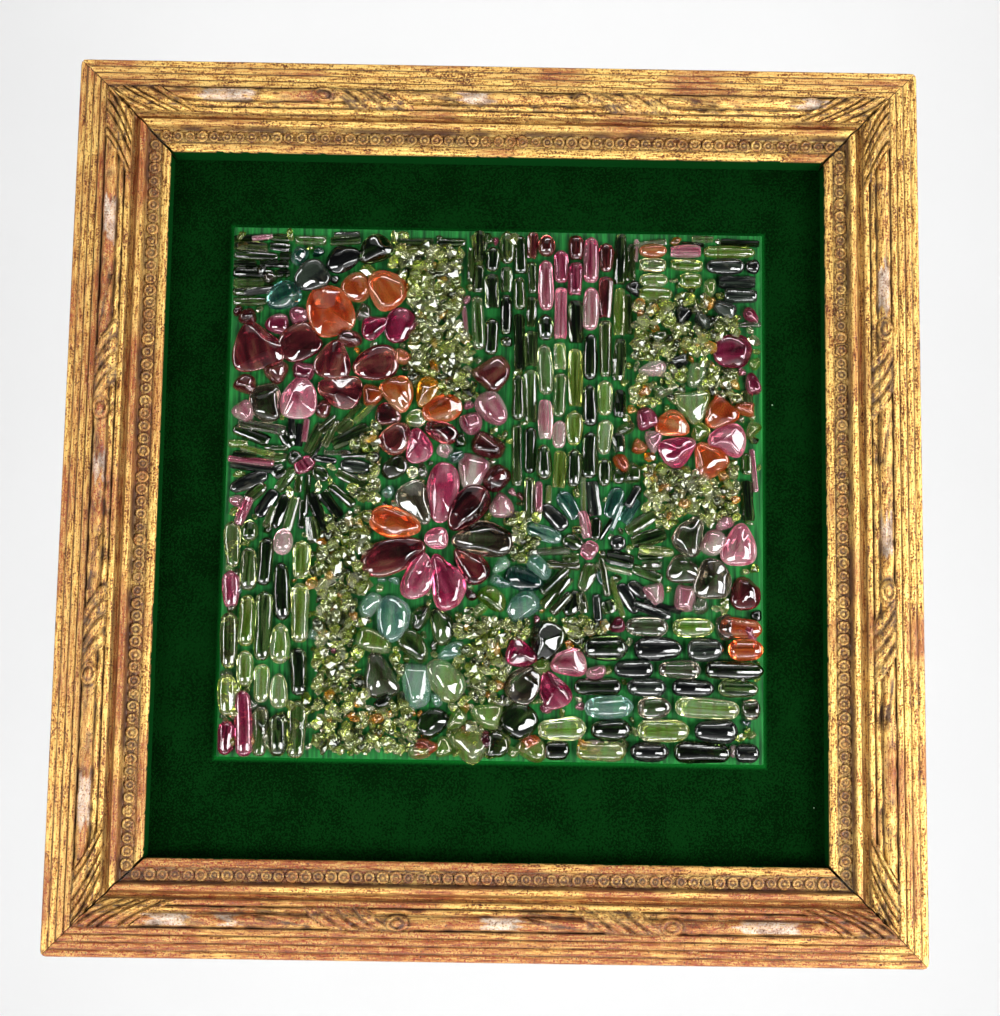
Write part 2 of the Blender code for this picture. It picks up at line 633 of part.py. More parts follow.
def add_pebble(bm, stone, rounds, rings, base, belly):
    """Add a pebble: a rounded body on its footprint, widest at its belly above the base."""
    made = bmesh.ops.create_uvsphere(bm, u_segments=rounds, v_segments=rings, radius=1.0)
    for v in made["verts"]:
        x, y = stone.rim(math.atan2(v.co.y, v.co.x), math.hypot(v.co.x, v.co.y))
        rise = belly + (stone.height - belly) * v.co.z if v.co.z > 0 else belly * (1 + v.co.z)
        v.co = on_plate(x, y, base + rise)


def add_rod(bm, stone, base):
    """Add a rod lying on the plate: a bar whose top is narrower and shorter than its foot."""
    made = bmesh.ops.create_cube(bm, size=1.0)
    for v in made["verts"]:
        top = v.co.z > 0
        ahead = v.co.x * (stone.length - (stone.width * ROD_TOP_SHORTER if top else 0.0))
        aside = v.co.y * stone.width * (ROD_TOP_SHARE if top else 1.0)
        x, y = stone.turned(ahead, aside)
        v.co = on_plate(x, y, base + stone.height * (v.co.z + 0.5))


def build_mosaic(pieces, shapes):
    """Build the plate with the rods and small pebbles set in it, and each large stone as a piece."""
    mosaic = Mosaic()
    lay_flowers(mosaic)
    lay_pebbles(mosaic)
    lay_rods(mosaic)
    plate = build_slab("mosaic_plate", PLATE_X, PLATE_Z, PLATE_WIDTH, PLATE_HEIGHT, PLATE_BACK_LEVEL,
                       PLATE_TOP_LEVEL, "green_plate", pieces)
    small = bmesh.new()
    for stone in mosaic.stones:
        if stone.name:
            bm = bmesh.new()
            add_pebble(bm, stone, 6, 4, PLATE_TOP_LEVEL + FIT_GAP, PEBBLE_BELLY)
            add_object(stone.name, bm, pieces, stone.tint)
        elif stone.form == "rod" and stone.width > THIN_ROD_SHARE:
            add_rod(small, stone, PLATE_TOP_LEVEL - STONE_SEAT)
        elif stone.form == "pebble" and stone.length > SMALL_PEBBLE_SHARE:
            add_pebble(small, stone, 6, 3, PLATE_TOP_LEVEL - STONE_SEAT, STONE_SEAT)
    merge(plate, add_object("small_stones", small, shapes))


def main():
    """Build the whole panel."""
    clear_scene()
    pieces = bpy.data.collections.new("mosaic_panel")
    shapes = bpy.data.collections.new("joined_shapes")
    bpy.context.scene.collection.children.link(pieces)
    bpy.context.scene.collection.children.link(shapes)
    for side in SIDES:
        build_rail(side, pieces, shapes)
    build_slab("velvet_board", 0.0, FRAME_CENTRE_Z, SIGHT_WIDTH + 2 * (REBATE_WIDTH - FIT_GAP),
               SIGHT_HEIGHT + 2 * (REBATE_WIDTH - FIT_GAP), BACK_RECESS, VELVET_LEVEL, "velvet", pieces)
    build_mosaic(pieces, shapes)


main()
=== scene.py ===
"""Framed stone mosaic, dressed: carved and gilded frame, velvet ground, green plate and tumbled stones.

Metres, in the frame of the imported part: the panel hangs upright, its back on the plane y = 0 and its front
towards -Y. The picture is laid out on a square of side 1 that is stretched over the plate.
"""

import logging
import math
import random
from collections.abc import Callable
from dataclasses import dataclass, field
from enum import Enum, StrEnum
from functools import partial

import bpy
import numpy as np
from bpy.types import Material, Node, NodeSocket, NodeTree, Object
from mathutils import Matrix, Vector

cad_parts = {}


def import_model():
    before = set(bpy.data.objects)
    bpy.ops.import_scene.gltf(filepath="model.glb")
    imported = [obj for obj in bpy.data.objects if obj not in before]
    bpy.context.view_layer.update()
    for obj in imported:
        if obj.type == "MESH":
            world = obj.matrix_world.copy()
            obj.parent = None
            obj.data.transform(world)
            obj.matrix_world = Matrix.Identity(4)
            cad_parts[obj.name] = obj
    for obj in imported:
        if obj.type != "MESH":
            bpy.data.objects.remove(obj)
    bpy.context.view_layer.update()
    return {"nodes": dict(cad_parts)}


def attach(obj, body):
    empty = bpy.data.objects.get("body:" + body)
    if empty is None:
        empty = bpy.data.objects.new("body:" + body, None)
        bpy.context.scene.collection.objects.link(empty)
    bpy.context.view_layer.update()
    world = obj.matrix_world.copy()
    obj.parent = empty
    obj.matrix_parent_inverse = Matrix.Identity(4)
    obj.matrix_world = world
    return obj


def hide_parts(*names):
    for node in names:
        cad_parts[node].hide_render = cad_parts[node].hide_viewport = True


# Kinds of value that the hints name
Pair = tuple[float, float]
Triple = tuple[float, float, float]
Quad = tuple[float, float, float, float]
Corners = list[Pair]
Arrays = tuple[np.ndarray, np.ndarray, np.ndarray]
Tints = tuple[str, ...]

LOG = logging.getLogger("mosaic_panel")

# Plate with the mosaic, and how its stones are laid
PLATE_WIDTH = 0.250
PLATE_HEIGHT = 0.249
PEBBLE_HEIGHT = 0.0062
ROD_THICKNESS_SHARE = 0.7
STONE_GAP_SHARE = 0.0016
EDGE_SHARE = 0.0016
LAYOUT_SEED = 7
CLUSTER_TRIES = 260

# Levels above the wall plane, and the places of frame and plate
LIP_BACK_LEVEL = 0.0095
SIGHT_LEVEL = 0.0222
PLATE_BACK_LEVEL = 0.0095
PLATE_TOP_LEVEL = 0.0125
FRAME_WIDTH = 0.3954
FRAME_HEIGHT = 0.4156
FRAME_CENTRE_Z = -0.1889
PLATE_X = 0.0008
PLATE_Z = -0.1828


def srgb(code: str) -> Quad:
    """Turn a colour into the linear light that shaders use.

    Args:
        code: the colour as an sRGB hex value, such as "#D9B45A".

    Returns:
        Linear red, green, blue and an alpha of 1.
    """
    shares = [int(code[k:k + 2], 16) / 255 for k in (1, 3, 5)]
    linear = [v / 12.92 if v <= 0.04045 else ((v + 0.055) / 1.055) ** 2.4 for v in shares]
    return linear[0], linear[1], linear[2], 1.0


def scale_of(millimetres: float) -> float:
    """Return the scale of a pattern whose features are this many millimetres long."""
    return 1000.0 / millimetres


def feed(node: Node, inputs: dict) -> None:
    """Give a node's sockets their values or links.

    Args:
        node: the node.
        inputs: socket name or number to a value, or to the output that feeds it.
    """
    for socket, value in inputs.items():
        if isinstance(value, NodeSocket):
            node.id_data.links.new(value, node.inputs[socket])
        else:
            node.inputs[socket].default_value = value


def add_node(tree: NodeTree, kind: str, inputs: dict | None = None,
             stops: tuple[tuple[float, str], ...] = (), output: int | str = 0,
             **settings: object) -> NodeSocket:
    """Add a node to a material with its settings, values and links.

    Args:
        tree: the material's node tree.
        kind: the node's type name.
        inputs: socket name or number to a value, or to the output that feeds it.
        stops: places and hex colours of a colour ramp.
        output: which of the node's outputs is wanted.
        settings: properties of the node itself.

    Returns:
        The output.
    """
    node = tree.nodes.new(kind)
    for name, value in settings.items():
        setattr(node, name, value)
    feed(node, inputs or {})
    for k, (place, code) in enumerate(stops):
        stop = node.color_ramp.elements[k] if k < 2 else node.color_ramp.elements.new(place)
        stop.position = place
        stop.color = srgb(code)
    return node.outputs[output]


def new_material(name: str) -> tuple[Material, Callable[..., NodeSocket], Node]:
    """Start a material.

    Args:
        name: the material's name.

    Returns:
        The material, the function that adds a node to it, and its shader.
    """
    material = bpy.data.materials.new(name)
    material.use_nodes = True
    tree = material.node_tree
    return material, partial(add_node, tree), tree.nodes["Principled BSDF"]


def patchwork(x: np.ndarray, y: np.ndarray, seed: int) -> np.ndarray:
    """Draw smooth random values over a plane of unit cells.

    Args:
        x: places to the right, in cells.
        y: places up, in cells.
        seed: which random pattern.

    Returns:
        Values from 0 to 1.
    """
    column, row = np.floor(x).astype(np.int64), np.floor(y).astype(np.int64)
    right, up = x - column, y - row
    right, up = right * right * (3 - 2 * right), up * up * (3 - 2 * up)

    def corner(dx: int, dy: int) -> np.ndarray:
        """Return the random values of one corner of each cell.

        Args:
            dx: 0 for the left corner, 1 for the right one.
            dy: 0 for the lower corner, 1 for the upper one.

        Returns:
            Values from 0 to 1.
        """
        mixed = ((column + dx) * 374761393 + (row + dy) * 668265263 + seed * 974634777) & 0xFFFFFFFF
        mixed = ((mixed ^ (mixed >> 13)) * 1274126177) & 0xFFFFFFFF
        return ((mixed ^ (mixed >> 16)) & 0xFFFF) / 65535

    low = corner(0, 0) * (1 - right) + corner(1, 0) * right
    high = corner(0, 1) * (1 - right) + corner(1, 1) * right
    return low * (1 - up) + high * up


def start_piece(name: str) -> Object:
    """Name the primitive that was just added.

    Args:
        name: its new name.

    Returns:
        The piece.
    """
    piece = bpy.context.view_layer.objects.active
    piece.name = name
    piece.data.name = name
    return piece


def get_points(piece: Object) -> np.ndarray:
    """Read a mesh piece's vertices.

    Args:
        piece: the mesh piece.

    Returns:
        Rows of x, y and z.
    """
    points = np.empty(len(piece.data.vertices) * 3)
    piece.data.vertices.foreach_get("co", points)
    return points.reshape(-1, 3)


def set_points(piece: Object, points: np.ndarray) -> None:
    """Move a mesh piece's vertices to these rows of x, y and z."""
    piece.data.vertices.foreach_set("co", np.ascontiguousarray(points, np.float32).ravel())
    piece.data.update()


def tag_points(piece: Object, name: str, values: np.ndarray) -> None:
    """Keep a value or a vector for each vertex as an attribute that materials read.

    Args:
        piece: the mesh piece.
        name: the attribute's name.
        values: one number, or three numbers, for each vertex.
    """
    kind, key = ("FLOAT", "value") if values.ndim == 1 else ("FLOAT_VECTOR", "vector")
    tag = piece.data.attributes.new(name, kind, "POINT")
    tag.data.foreach_set(key, np.ascontiguousarray(values, np.float32).ravel())


def face_outward() -> None:
    """Turn all faces of the active piece outward."""
    bpy.ops.object.mode_set(mode="EDIT")
    bpy.ops.mesh.select_all(action="SELECT")
    bpy.ops.mesh.normals_make_consistent(inside=False)
    bpy.ops.object.mode_set(mode="OBJECT")


def dress(piece: Object, slot: str, *materials: Material) -> None:
    """Give a piece its materials and its body.

    Args:
        piece: the piece.
        slot: not used.
        materials: the materials, in the order of the faces' numbers.
    """
    piece.data.materials.clear()
    for material in materials:
        piece.data.materials.append(material)
    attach(piece, "root")
    LOG.info("%s: %d faces", piece.name, len(piece.data.polygons))


@dataclass(frozen=True)
class Gilding:
    """Water gilding over red bole on carved poplar: leaf laid by hand, burnished, then worn by two centuries.

    The eye gets a satin gold that runs from straw to ochre in fine streaks along the rail, red-brown where the
    leaf is thin, dark dirt and painted shade in the grooves and carved hollows, and small black worm holes.
    """

    straw: str = "#DDB96A"
    gold: str = "#BD8C43"
    ochre: str = "#85562B"
    rust: str = "#57301D"
    umber: str = "#38241B"
    # Painted shade: the dark green of the wall under the sight edge
    painted_wall_shade: str = "#052B0C"
    bole: str = "#6E2817"
    gesso: str = "#B3A797"
    roughness: float = 0.38
    metallic: float = 0.55
    specular: float = 0.25

    def material(self) -> Material:
        """Build the gilding from the rails' own attributes.

        Returns:
            The material.
        """
        material, add, shader = new_material("water_gilding_on_bole")
        place = add("ShaderNodeAttribute", attribute_name="rail_place", output="Vector")
        groove = add("ShaderNodeAttribute", attribute_name="groove", output="Fac")
        worn = add("ShaderNodeAttribute", attribute_name="worn", output="Fac")
        bare = add("ShaderNodeAttribute", attribute_name="bare", output="Fac")
        # Streaks of the burnisher: 8 mm long and 0.8 mm wide
        stretch = (scale_of(8), scale_of(0.8), scale_of(0.8))
        drawn = add("ShaderNodeMapping", {"Vector": place, "Scale": stretch})
        streak = add("ShaderNodeTexNoise", {"Vector": drawn, "Scale": 1.0, "Detail": 4.0})
        # Overlaps of the leaf and uneven wear: patches of 12 mm
        blotch = add("ShaderNodeTexNoise", {"Vector": place, "Scale": scale_of(12), "Detail": 3.0})
        # Crackle and grit: flecks of 0.9 mm, as fine as the render shows
        grit = add("ShaderNodeTexNoise", {"Vector": place, "Scale": scale_of(0.9), "Detail": 2.0})
        streaks = add("ShaderNodeMath", {0: streak, 1: 0.76}, operation="MULTIPLY")
        shade = add("ShaderNodeMath", {0: blotch, 1: 0.24, 2: streaks}, operation="MULTIPLY_ADD")
        leaf = add("ShaderNodeValToRGB", {"Fac": shade},
                   ((0.36, self.rust), (0.43, self.ochre), (0.50, self.gold), (0.57, self.straw)))
        fleck = add("ShaderNodeMapRange", {"Value": grit, 1: 0.50, 2: 0.62, 3: 0.0, 4: 0.85})
        bright = add("ShaderNodeMix", {0: fleck, 6: leaf, 7: srgb(self.straw)}, data_type="RGBA", output=2)
        dirt = add("ShaderNodeMapRange", {"Value": grit, 1: 0.45, 2: 0.33, 3: 0.0, 4: 0.9})
        dirty = add("ShaderNodeMix", {0: dirt, 6: bright, 7: srgb(self.umber)}, data_type="RGBA", output=2)
        # Where the leaf is worn off: bole, or bare gesso, through which the grit shows
        rub = add("ShaderNodeMath", {0: grit, 1: 2.6, 2: -0.65}, operation="MULTIPLY_ADD", use_clamp=True)
        rubbed = add("ShaderNodeMath", {0: worn, 1: rub}, operation="MULTIPLY", use_clamp=True)
        red = add("ShaderNodeMix", {0: rubbed, 6: dirty, 7: srgb(self.bole)}, data_type="RGBA", output=2)
        chalk = add("ShaderNodeMath", {0: bare, 1: rub}, operation="MULTIPLY", use_clamp=True)
        pale = add("ShaderNodeMix", {0: chalk, 6: red, 7: srgb(self.gesso)}, data_type="RGBA", output=2)
        # Dirt and painted shade in the grooves and carved hollows; where the mark is above 1, on the wall under
        # the sight edge, a dark green painted shade
        deep = add("ShaderNodeMath", {0: groove, 1: 0.92}, operation="MULTIPLY", use_clamp=True)
        brown = add("ShaderNodeMix", {0: deep, 6: pale, 7: srgb(self.umber)}, data_type="RGBA", output=2)
        hidden = add("ShaderNodeMath", {0: groove, 1: 1.0}, operation="SUBTRACT", use_clamp=True)
        colour = add("ShaderNodeMix", {0: hidden, 6: brown, 7: srgb(self.painted_wall_shade)},
                     data_type="RGBA", output=2)
        shine = add("ShaderNodeMapRange", {"Value": hidden, 1: 0.0, 2: 1.0, 3: self.specular, 4: 0.0})
        dull = add("ShaderNodeMath", {0: groove, 1: worn}, operation="MAXIMUM")
        metal = add("ShaderNodeMapRange", {"Value": dull, 1: 0.0, 2: 1.0, 3: self.metallic, 4: 0.0})
        rough = add("ShaderNodeMapRange", {"Value": streak, 1: 0.3, 2: 0.7, 3: self.roughness - 0.12,
                                           4: self.roughness + 0.16})
        glossy = add("ShaderNodeMapRange", {"Value": bare, 1: 0.2, 2: 0.8, 3: 1.0, 4: 0.4})
        smooth = add("ShaderNodeMath", {0: rough, 1: glossy}, operation="MULTIPLY")
        relief = add("ShaderNodeMath", {0: streak, 1: 0.6, 2: grit}, operation="MULTIPLY_ADD")
        bump = add("ShaderNodeBump", {"Height": relief, "Strength": 1.0, "Distance": 0.0004})
        feed(shader, {"Base Color": colour, "Specular IOR Level": shine, "Metallic": metal, "Roughness": smooth,
                      "Normal": bump})
        return material


@dataclass(frozen=True)
class BareWood:
    """Poplar left as it was planed on the frame's back: pale brown, dull, darkened by age."""

    pale: str = "#A5835A"
    dark: str = "#6E4E30"

    def material(self) -> Material:
        """Build the wood with its grain along the rail.

        Returns:
            The material.
        """
        material, add, shader = new_material("planed_poplar")
        place = add("ShaderNodeAttribute", attribute_name="rail_place", output="Vector")
        # Grain: lines 1.5 mm apart that run 60 mm along the rail
        stretch = (scale_of(60), scale_of(1.5), scale_of(1.5))
        drawn = add("ShaderNodeMapping", {"Vector": place, "Scale": stretch})
        grain = add("ShaderNodeTexNoise", {"Vector": drawn, "Scale": 1.0, "Detail": 5.0})
        colour = add("ShaderNodeValToRGB", {"Fac": grain}, ((0.35, self.dark), (0.65, self.pale)))
        bump = add("ShaderNodeBump", {"Height": grain, "Strength": 0.5, "Distance": 0.0004})
        feed(shader, {"Base Color": colour, "Roughness": 0.8, "Normal": bump})
        return material


@dataclass(frozen=True)
class Side:
    """One side of the frame: the middle of its outer edge, its directions and where its gilding is rubbed."""

    name: str
    middle: Pair
    along: tuple[int, int]
    inward: tuple[int, int]
    length: float
    age: float
    rubbed: tuple[Pair, ...]

    def place(self, run: np.ndarray, across: np.ndarray, level: np.ndarray) -> np.ndarray:
        """Turn places on the rail into points of the room.

        Args:
            run: places along the rail from its middle.
            across: places across it from the outer edge.
            level: heights above the wall plane.

        Returns:
            Rows of x, y and z.
        """
        x = self.middle[0] + self.along[0] * run + self.inward[0] * across
        up = self.middle[1] + self.along[1] * run + self.inward[1] * across
        return np.column_stack((x, -level, FRAME_CENTRE_Z + up))


@dataclass
class RailSurface:
    """The points of a rail's surface: where they lie, what the carver and the years did there, and where shade
    is painted.
    """

    run: np.ndarray
    across: np.ndarray
    level: np.ndarray
    on_face: np.ndarray

    def __post_init__(self) -> None:
        """Start uncarved and unworn."""
        self.depth = np.zeros_like(self.run)
        self.lost = np.zeros_like(self.run)
        self.hollow = np.zeros_like(self.run)


@dataclass
class GiltFrame:
    """The carved and gilded frame: four mitred rails with reeds, a leafy torus and a course of beads."""

    reed_count: int = 4
    reed_width: float = 0.00345
    torus_width: float = 0.0065
    collar_width: float = 0.0030
    band_width: float = 0.0031
    cove_width: float = 0.0027
    ridge_width: float = 0.0035
    step_width: float = 0.0010
    channel_width: float = 0.0060
    fillet_width: float = 0.0042
    outer_rise: float = 0.0014
    reed_step: float = 0.0008
    reed_rise: float = 0.0010
    torus_base: float = 0.0032
    torus_rise: float = 0.0042
    collar_rise: float = 0.0024
    band_base: float = 0.0034
    band_rise: float = 0.0020
    cove_depth: float = 0.0016
    ridge_rise: float = 0.0060
    channel_rise: float = 0.0004
    fillet_rise: float = 0.0010
    back_width: float = 0.0378
    mitre_gap: float = 0.0002
    mitre_opening: float = 0.0007
    corner_radius: float = 0.0032
    cluster_offset: float = 0.061
    frond_spacing: float = 0.0074
    frond_count: int = 4
    frond_lean: float = 0.0062
    frond_rise: float = 0.0016
    frond_fall: float = 0.0024
    frond_bow: float = 0.0012
    frond_seat: float = 0.0011
    vein_depth: float = 0.0004
    bud_length: float = 0.0085
    bud_seat: float = 0.0012
    bud_rise: float = 0.0024
    bud_ring: float = 0.0012
    tail_length: float = 0.026
    tail_half_width: float = 0.0019
    tail_seat: float = 0.0014
    tail_rise: float = 0.0018
    corner_leaf_pitch: float = 0.0062
    corner_leaf_count: int = 4
    corner_leaf_seat: float = 0.0018
    corner_leaf_fall: float = 0.0024
    corner_leaf_rise: float = 0.0031
    corner_leaf_vein: float = 0.0005
    hand_wander: float = 0.00025
    loss_depth: float = 0.0009
    loss_ragged: float = 0.009
    lump_rise: float = 0.0017
    dent_depth: float = 0.0005
    face_points: int = 112
    fine_step: float = 0.00055
    coarse_step: float = 0.0016
    bead_pitch: float = 0.0058
    bead_width: float = 0.0053
    bead_rise: float = 0.0015
    # Each side's share of wear and shade rubs more leaf down to the red bole, most on the bottom rail and then
    # the left, and darkens these rails as painted shade
    sides: tuple[Side, ...] = (
        Side("top", (0.0, FRAME_HEIGHT / 2), (1, 0), (0, -1), FRAME_WIDTH, 0.15,
             ((-0.140, -0.116), (-0.018, -0.004), (0.141, 0.155))),
        Side("right", (FRAME_WIDTH / 2, 0.0), (0, -1), (-1, 0), FRAME_HEIGHT, 0.1,
             ((-0.113, -0.092), (0.004, 0.022))),
        Side("bottom", (0.0, -FRAME_HEIGHT / 2), (-1, 0), (0, 1), FRAME_WIDTH, 0.95,
             ((0.133, 0.151), (0.112, 0.118), (-0.015, 0.003), (-0.140, -0.112))),
        Side("left", (-FRAME_WIDTH / 2, 0.0), (0, 1), (1, 0), FRAME_HEIGHT, 0.5,
             ((0.007, 0.018), (-0.150, -0.128), (0.120, 0.140))),
    )

    def __post_init__(self) -> None:
        """Work out where each member of the moulding starts."""
        self.torus_start = self.reed_count * self.reed_width
        self.collar_start = self.torus_start + self.torus_width
        self.band_start = self.collar_start + self.collar_width
        self.cove_start = self.band_start + self.band_width
        self.ridge_start = self.cove_start + self.cove_width
        self.step_start = self.ridge_start + self.ridge_width
        self.channel_start = self.step_start + self.step_width
        self.fillet_start = self.channel_start + self.channel_width
        self.width = self.fillet_start + self.fillet_width
        self.bead_line = self.channel_start + self.channel_width / 2
        self.torus_crest = SIGHT_LEVEL + self.torus_base + self.torus_rise

    def face_levels(self, across: np.ndarray) -> np.ndarray:
        """Work out the height of the plain moulding.

        Args:
            across: places across the face from the outer edge.

        Returns:
            The heights there above the wall plane.
        """
        base = SIGHT_LEVEL + self.band_base
        level = np.interp(
            across,
            (self.cove_start, self.cove_start + self.cove_width / 2, self.ridge_start,
             self.ridge_start + self.ridge_width / 4, self.step_start - self.ridge_width / 5, self.step_start,
             self.channel_start, self.fillet_start, self.fillet_start + self.fillet_width / 4,
             self.width - self.fillet_width / 5, self.width),
            (base, base - self.cove_depth, base, SIGHT_LEVEL + self.ridge_rise - 0.0003,
             SIGHT_LEVEL + self.ridge_rise, SIGHT_LEVEL + self.ridge_rise - 0.0006,
             SIGHT_LEVEL + self.channel_rise, SIGHT_LEVEL + self.channel_rise, SIGHT_LEVEL + self.fillet_rise,
             SIGHT_LEVEL + self.fillet_rise, SIGHT_LEVEL))
        rounds = [(k * self.reed_width, self.reed_width, self.outer_rise + k * self.reed_step,
                   self.reed_rise, 4) for k in range(self.reed_count)]
        rounds.append((self.torus_start, self.torus_width, self.torus_base, self.torus_rise, 2.2))
        rounds.append((self.collar_start, self.collar_width, self.torus_base, self.collar_rise, 2.5))
        rounds.append((self.band_start, self.band_width, self.band_base, self.band_rise, 3))
        for start, width, low, rise, power in rounds:
            share = 2 * (across - start) / width - 1
            here = np.abs(share) <= 1
            level[here] = SIGHT_LEVEL + low + rise * np.sqrt(1 - np.abs(share[here]) ** power)
        return level

    def groove_depth(self, across: np.ndarray) -> np.ndarray:
        """Work out how much dirt and painted shade lie in the plain moulding.

        Args:
            across: places across the face from the outer edge.

        Returns:
            The dirt and painted shade there, from 0 on a crest to 1 in a deep groove.
        """
        grooves = [(k * self.reed_width, 0.00042, 0.95) for k in range(1, self.reed_count)]
        grooves += [(self.torus_start, 0.0008, 1.1), (self.collar_start, 0.00055, 1.0),
                    (self.band_start, 0.00055, 1.0), (self.cove_start, 0.0005, 0.8),
                    (self.ridge_start, 0.0005, 0.7), (self.channel_start - 0.0002, 0.0009, 1.1),
                    (self.bead_line, 0.0026, 0.95), (self.fillet_start, 0.0005, 1.0)]
        depth = np.zeros_like(across)
        for middle, width, dark in grooves:
            depth = np.maximum(depth, dark * np.exp(-((across - middle) / width) ** 2))
        return depth

    def carve_cluster(self, centre: float, rail: RailSurface) -> None:
        """Carve a cluster of leaves with its bud and its tail.

        Args:
            centre: where along the rail its middle is.
            rail: the rail's surface.
        """
        run, across = rail.run, rail.across
        share = np.clip((across - self.torus_start) / (self.band_start - self.torus_start), 0, 1)
        leafy = (across > self.torus_start) & (across < self.band_start)
        line = self.torus_start + self.torus_width / 2
        # Leaves: ridges that lean and bow, each with two veins
        first = centre - self.frond_spacing * (self.frond_count - 1) / 2
        sheared = run - self.frond_lean * (2 * share - 1) - self.frond_bow * np.sin(math.pi * share)
        turn = (sheared - first) / self.frond_spacing
        off = (turn - np.round(turn)) * 2
        here = leafy & (turn > -0.5) & (turn < self.frond_count - 0.5)
        crest = self.torus_crest - self.frond_fall * (2 * share - 1) ** 2
        lobe = crest - self.frond_seat + (self.frond_rise + 0.0008) * np.sqrt(np.clip(1 - off ** 2, 0, 1))
        lobe -= self.vein_depth * (0.5 + 0.5 * np.cos(3 * math.pi * off))
        level = np.where(here, lobe, rail.level)
        # Painted shade: darker at the leaves' edges and along their veins
        dark = np.clip(np.abs(off) - 0.55, 0, 0.45) / 0.45 + 0.45 * (np.cos(3 * math.pi * off) > 0.5)
        depth = np.where(here, np.clip(dark, 0, 1), rail.depth)
        # Bud: a knob with a ring cut into it
        bud = first - self.frond_lean - self.bud_length / 2
        reach = np.hypot((run - bud) / (self.bud_length * 0.62),
                         (across - line) / (self.torus_width * 0.56))
        knob = self.torus_crest - self.bud_seat + self.bud_rise * np.sqrt(np.clip(1 - reach ** 2, 0, 1))
        knob -= self.bud_ring * np.exp(-((reach - 0.55) / 0.14) ** 2) * (run > bud - 0.001)
        here = reach < 1
        level = np.where(here, knob, level)
        # Painted shade in the bud's ring and round its edge
        depth = np.where(here, np.exp(-((reach - 0.55) / 0.16) ** 2), depth)
        depth = np.maximum(depth, 0.9 * np.exp(-((reach - 1.05) / 0.12) ** 2) * leafy)
        # Tail: a blade that narrows as it runs out to the collar
        tail = first + (self.frond_count - 0.3) * self.frond_spacing
        gone = (run - tail) / self.tail_length
        middle = line + (self.collar_start - line) * gone
        half = self.tail_half_width * (1.05 - np.clip(gone, 0, 1))
        blade = np.clip(1 - ((across - middle) / half) ** 2, 0, 1)
        here = (gone > 0) & (gone < 1) & (blade > 0)
        rise = self.torus_crest - self.tail_seat + self.tail_rise * np.sqrt(blade)
        rail.level = np.where(here, np.maximum(level, rise), level)
        # Painted shade beside the tail
        cut = 0.8 * np.exp(-(blade / 0.2) ** 2) * (np.abs(across - middle) < 0.0024)
        rail.depth = np.where((gone > 0) & (gone < 1) & leafy, np.maximum(depth, cut), depth)

    def carve_corners(self, side: Side, rail: RailSurface) -> None:
        """Carve the corner leaves: a fan of ribs that spreads from each mitre.

        Args:
            side: the side being carved.
            rail: the rail's surface.
        """
        mitre = side.length / 2 - rail.across - np.abs(rail.run)
        inner = rail.across - self.torus_start
        fan = (mitre - 0.1 * inner - 62 * inner ** 2) / self.corner_leaf_pitch
        fan = fan + 0.2 * np.sin(2.3 * fan + side.length * 40)
        off = (fan - np.floor(fan) - 0.5) * 2
        here = (inner > 0) & (rail.across < self.cove_start) & (mitre > 0.0008) & (fan < self.corner_leaf_count)
        share = np.clip(inner / (self.cove_start - self.torus_start), 0, 1)
        leaf = self.torus_crest - self.corner_leaf_seat - self.corner_leaf_fall * (2 * share - 1) ** 2
        leaf = leaf + self.corner_leaf_rise * np.sqrt(1 - off ** 2)
        leaf -= self.corner_leaf_vein * (0.5 + 0.5 * np.cos(3 * math.pi * off))
        rail.level = np.where(here, leaf, rail.level)
        # Painted shade between the corner ribs
        rail.depth = np.where(here, np.clip(np.abs(off) - 0.5, 0, 0.5) / 0.5, rail.depth)

    def wear(self, side: Side, rail: RailSurface) -> None:
        """Carve a rail's face by hand and wear it: losses on the torus, lumps under the gesso and dents.

        Args:
            side: the side of the frame.
            rail: the rail's surface.
        """
        run, across, seed = rail.run, rail.across, len(side.name)
        # Hand-cut edges wander by a tenth of a millimetre
        wander = (patchwork(run / 0.011, across / 0.004, seed) - 0.5) * self.hand_wander
        rail.level = rail.level + np.where(rail.on_face, wander, 0)
        uncut = rail.level
        for centre in (-self.cluster_offset, self.cluster_offset):
            self.carve_cluster(centre, rail)
        self.carve_corners(side, rail)
        level = np.where(rail.on_face, rail.level, uncut)
        rubbed = np.zeros_like(run)
        for first, last in side.rubbed:
            middle, half = (first + last) / 2, (last - first) / 2
            wave = self.loss_ragged * (patchwork(across / 0.0011, run / 0.004, seed + 7) - 0.5)
            rubbed = np.maximum(rubbed, np.clip((half - np.abs(run - middle + wave)) / 0.0009, 0, 1))
        on_torus = (across > self.torus_start + 0.0008) & (across < self.collar_start - 0.0004)
        rail.lost = rubbed * (rail.on_face & on_torus)
        level = level - rail.lost * self.loss_depth * patchwork(run / 0.0019, across / 0.0014, seed + 17)
        leafy = rail.on_face & (across > self.torus_start) & (across < self.band_start)
        lump = patchwork(run / 0.0042, across / 0.0023, seed + 23)
        level = level + leafy * self.lump_rise * (lump - 0.5)
        # Painted shade in the hollows between the lumps
        rail.hollow = leafy * 0.8 * np.clip(0.42 - lump, 0, 1) / 0.42
        dent = patchwork(run / 0.0023, across / 0.0019, seed + 40)
        rail.level = level - np.where(rail.on_face, self.dent_depth * np.clip(dent - 0.78, 0, 1) / 0.22, 0)

    def close_corners(self, side: Side, rail: RailSurface, shares: np.ndarray) -> None:
        """Bring a rail's ends to its mitres, which have opened a little, and round the outer corners.

        Args:
            side: the side of the frame.
            rail: the rail's surface.
            shares: each point's share of the rail's half length.
        """
        across, half = rail.across, side.length / 2
        reach = half - across - self.mitre_gap - self.mitre_opening * (across / self.width) ** 2
        run = shares * reach
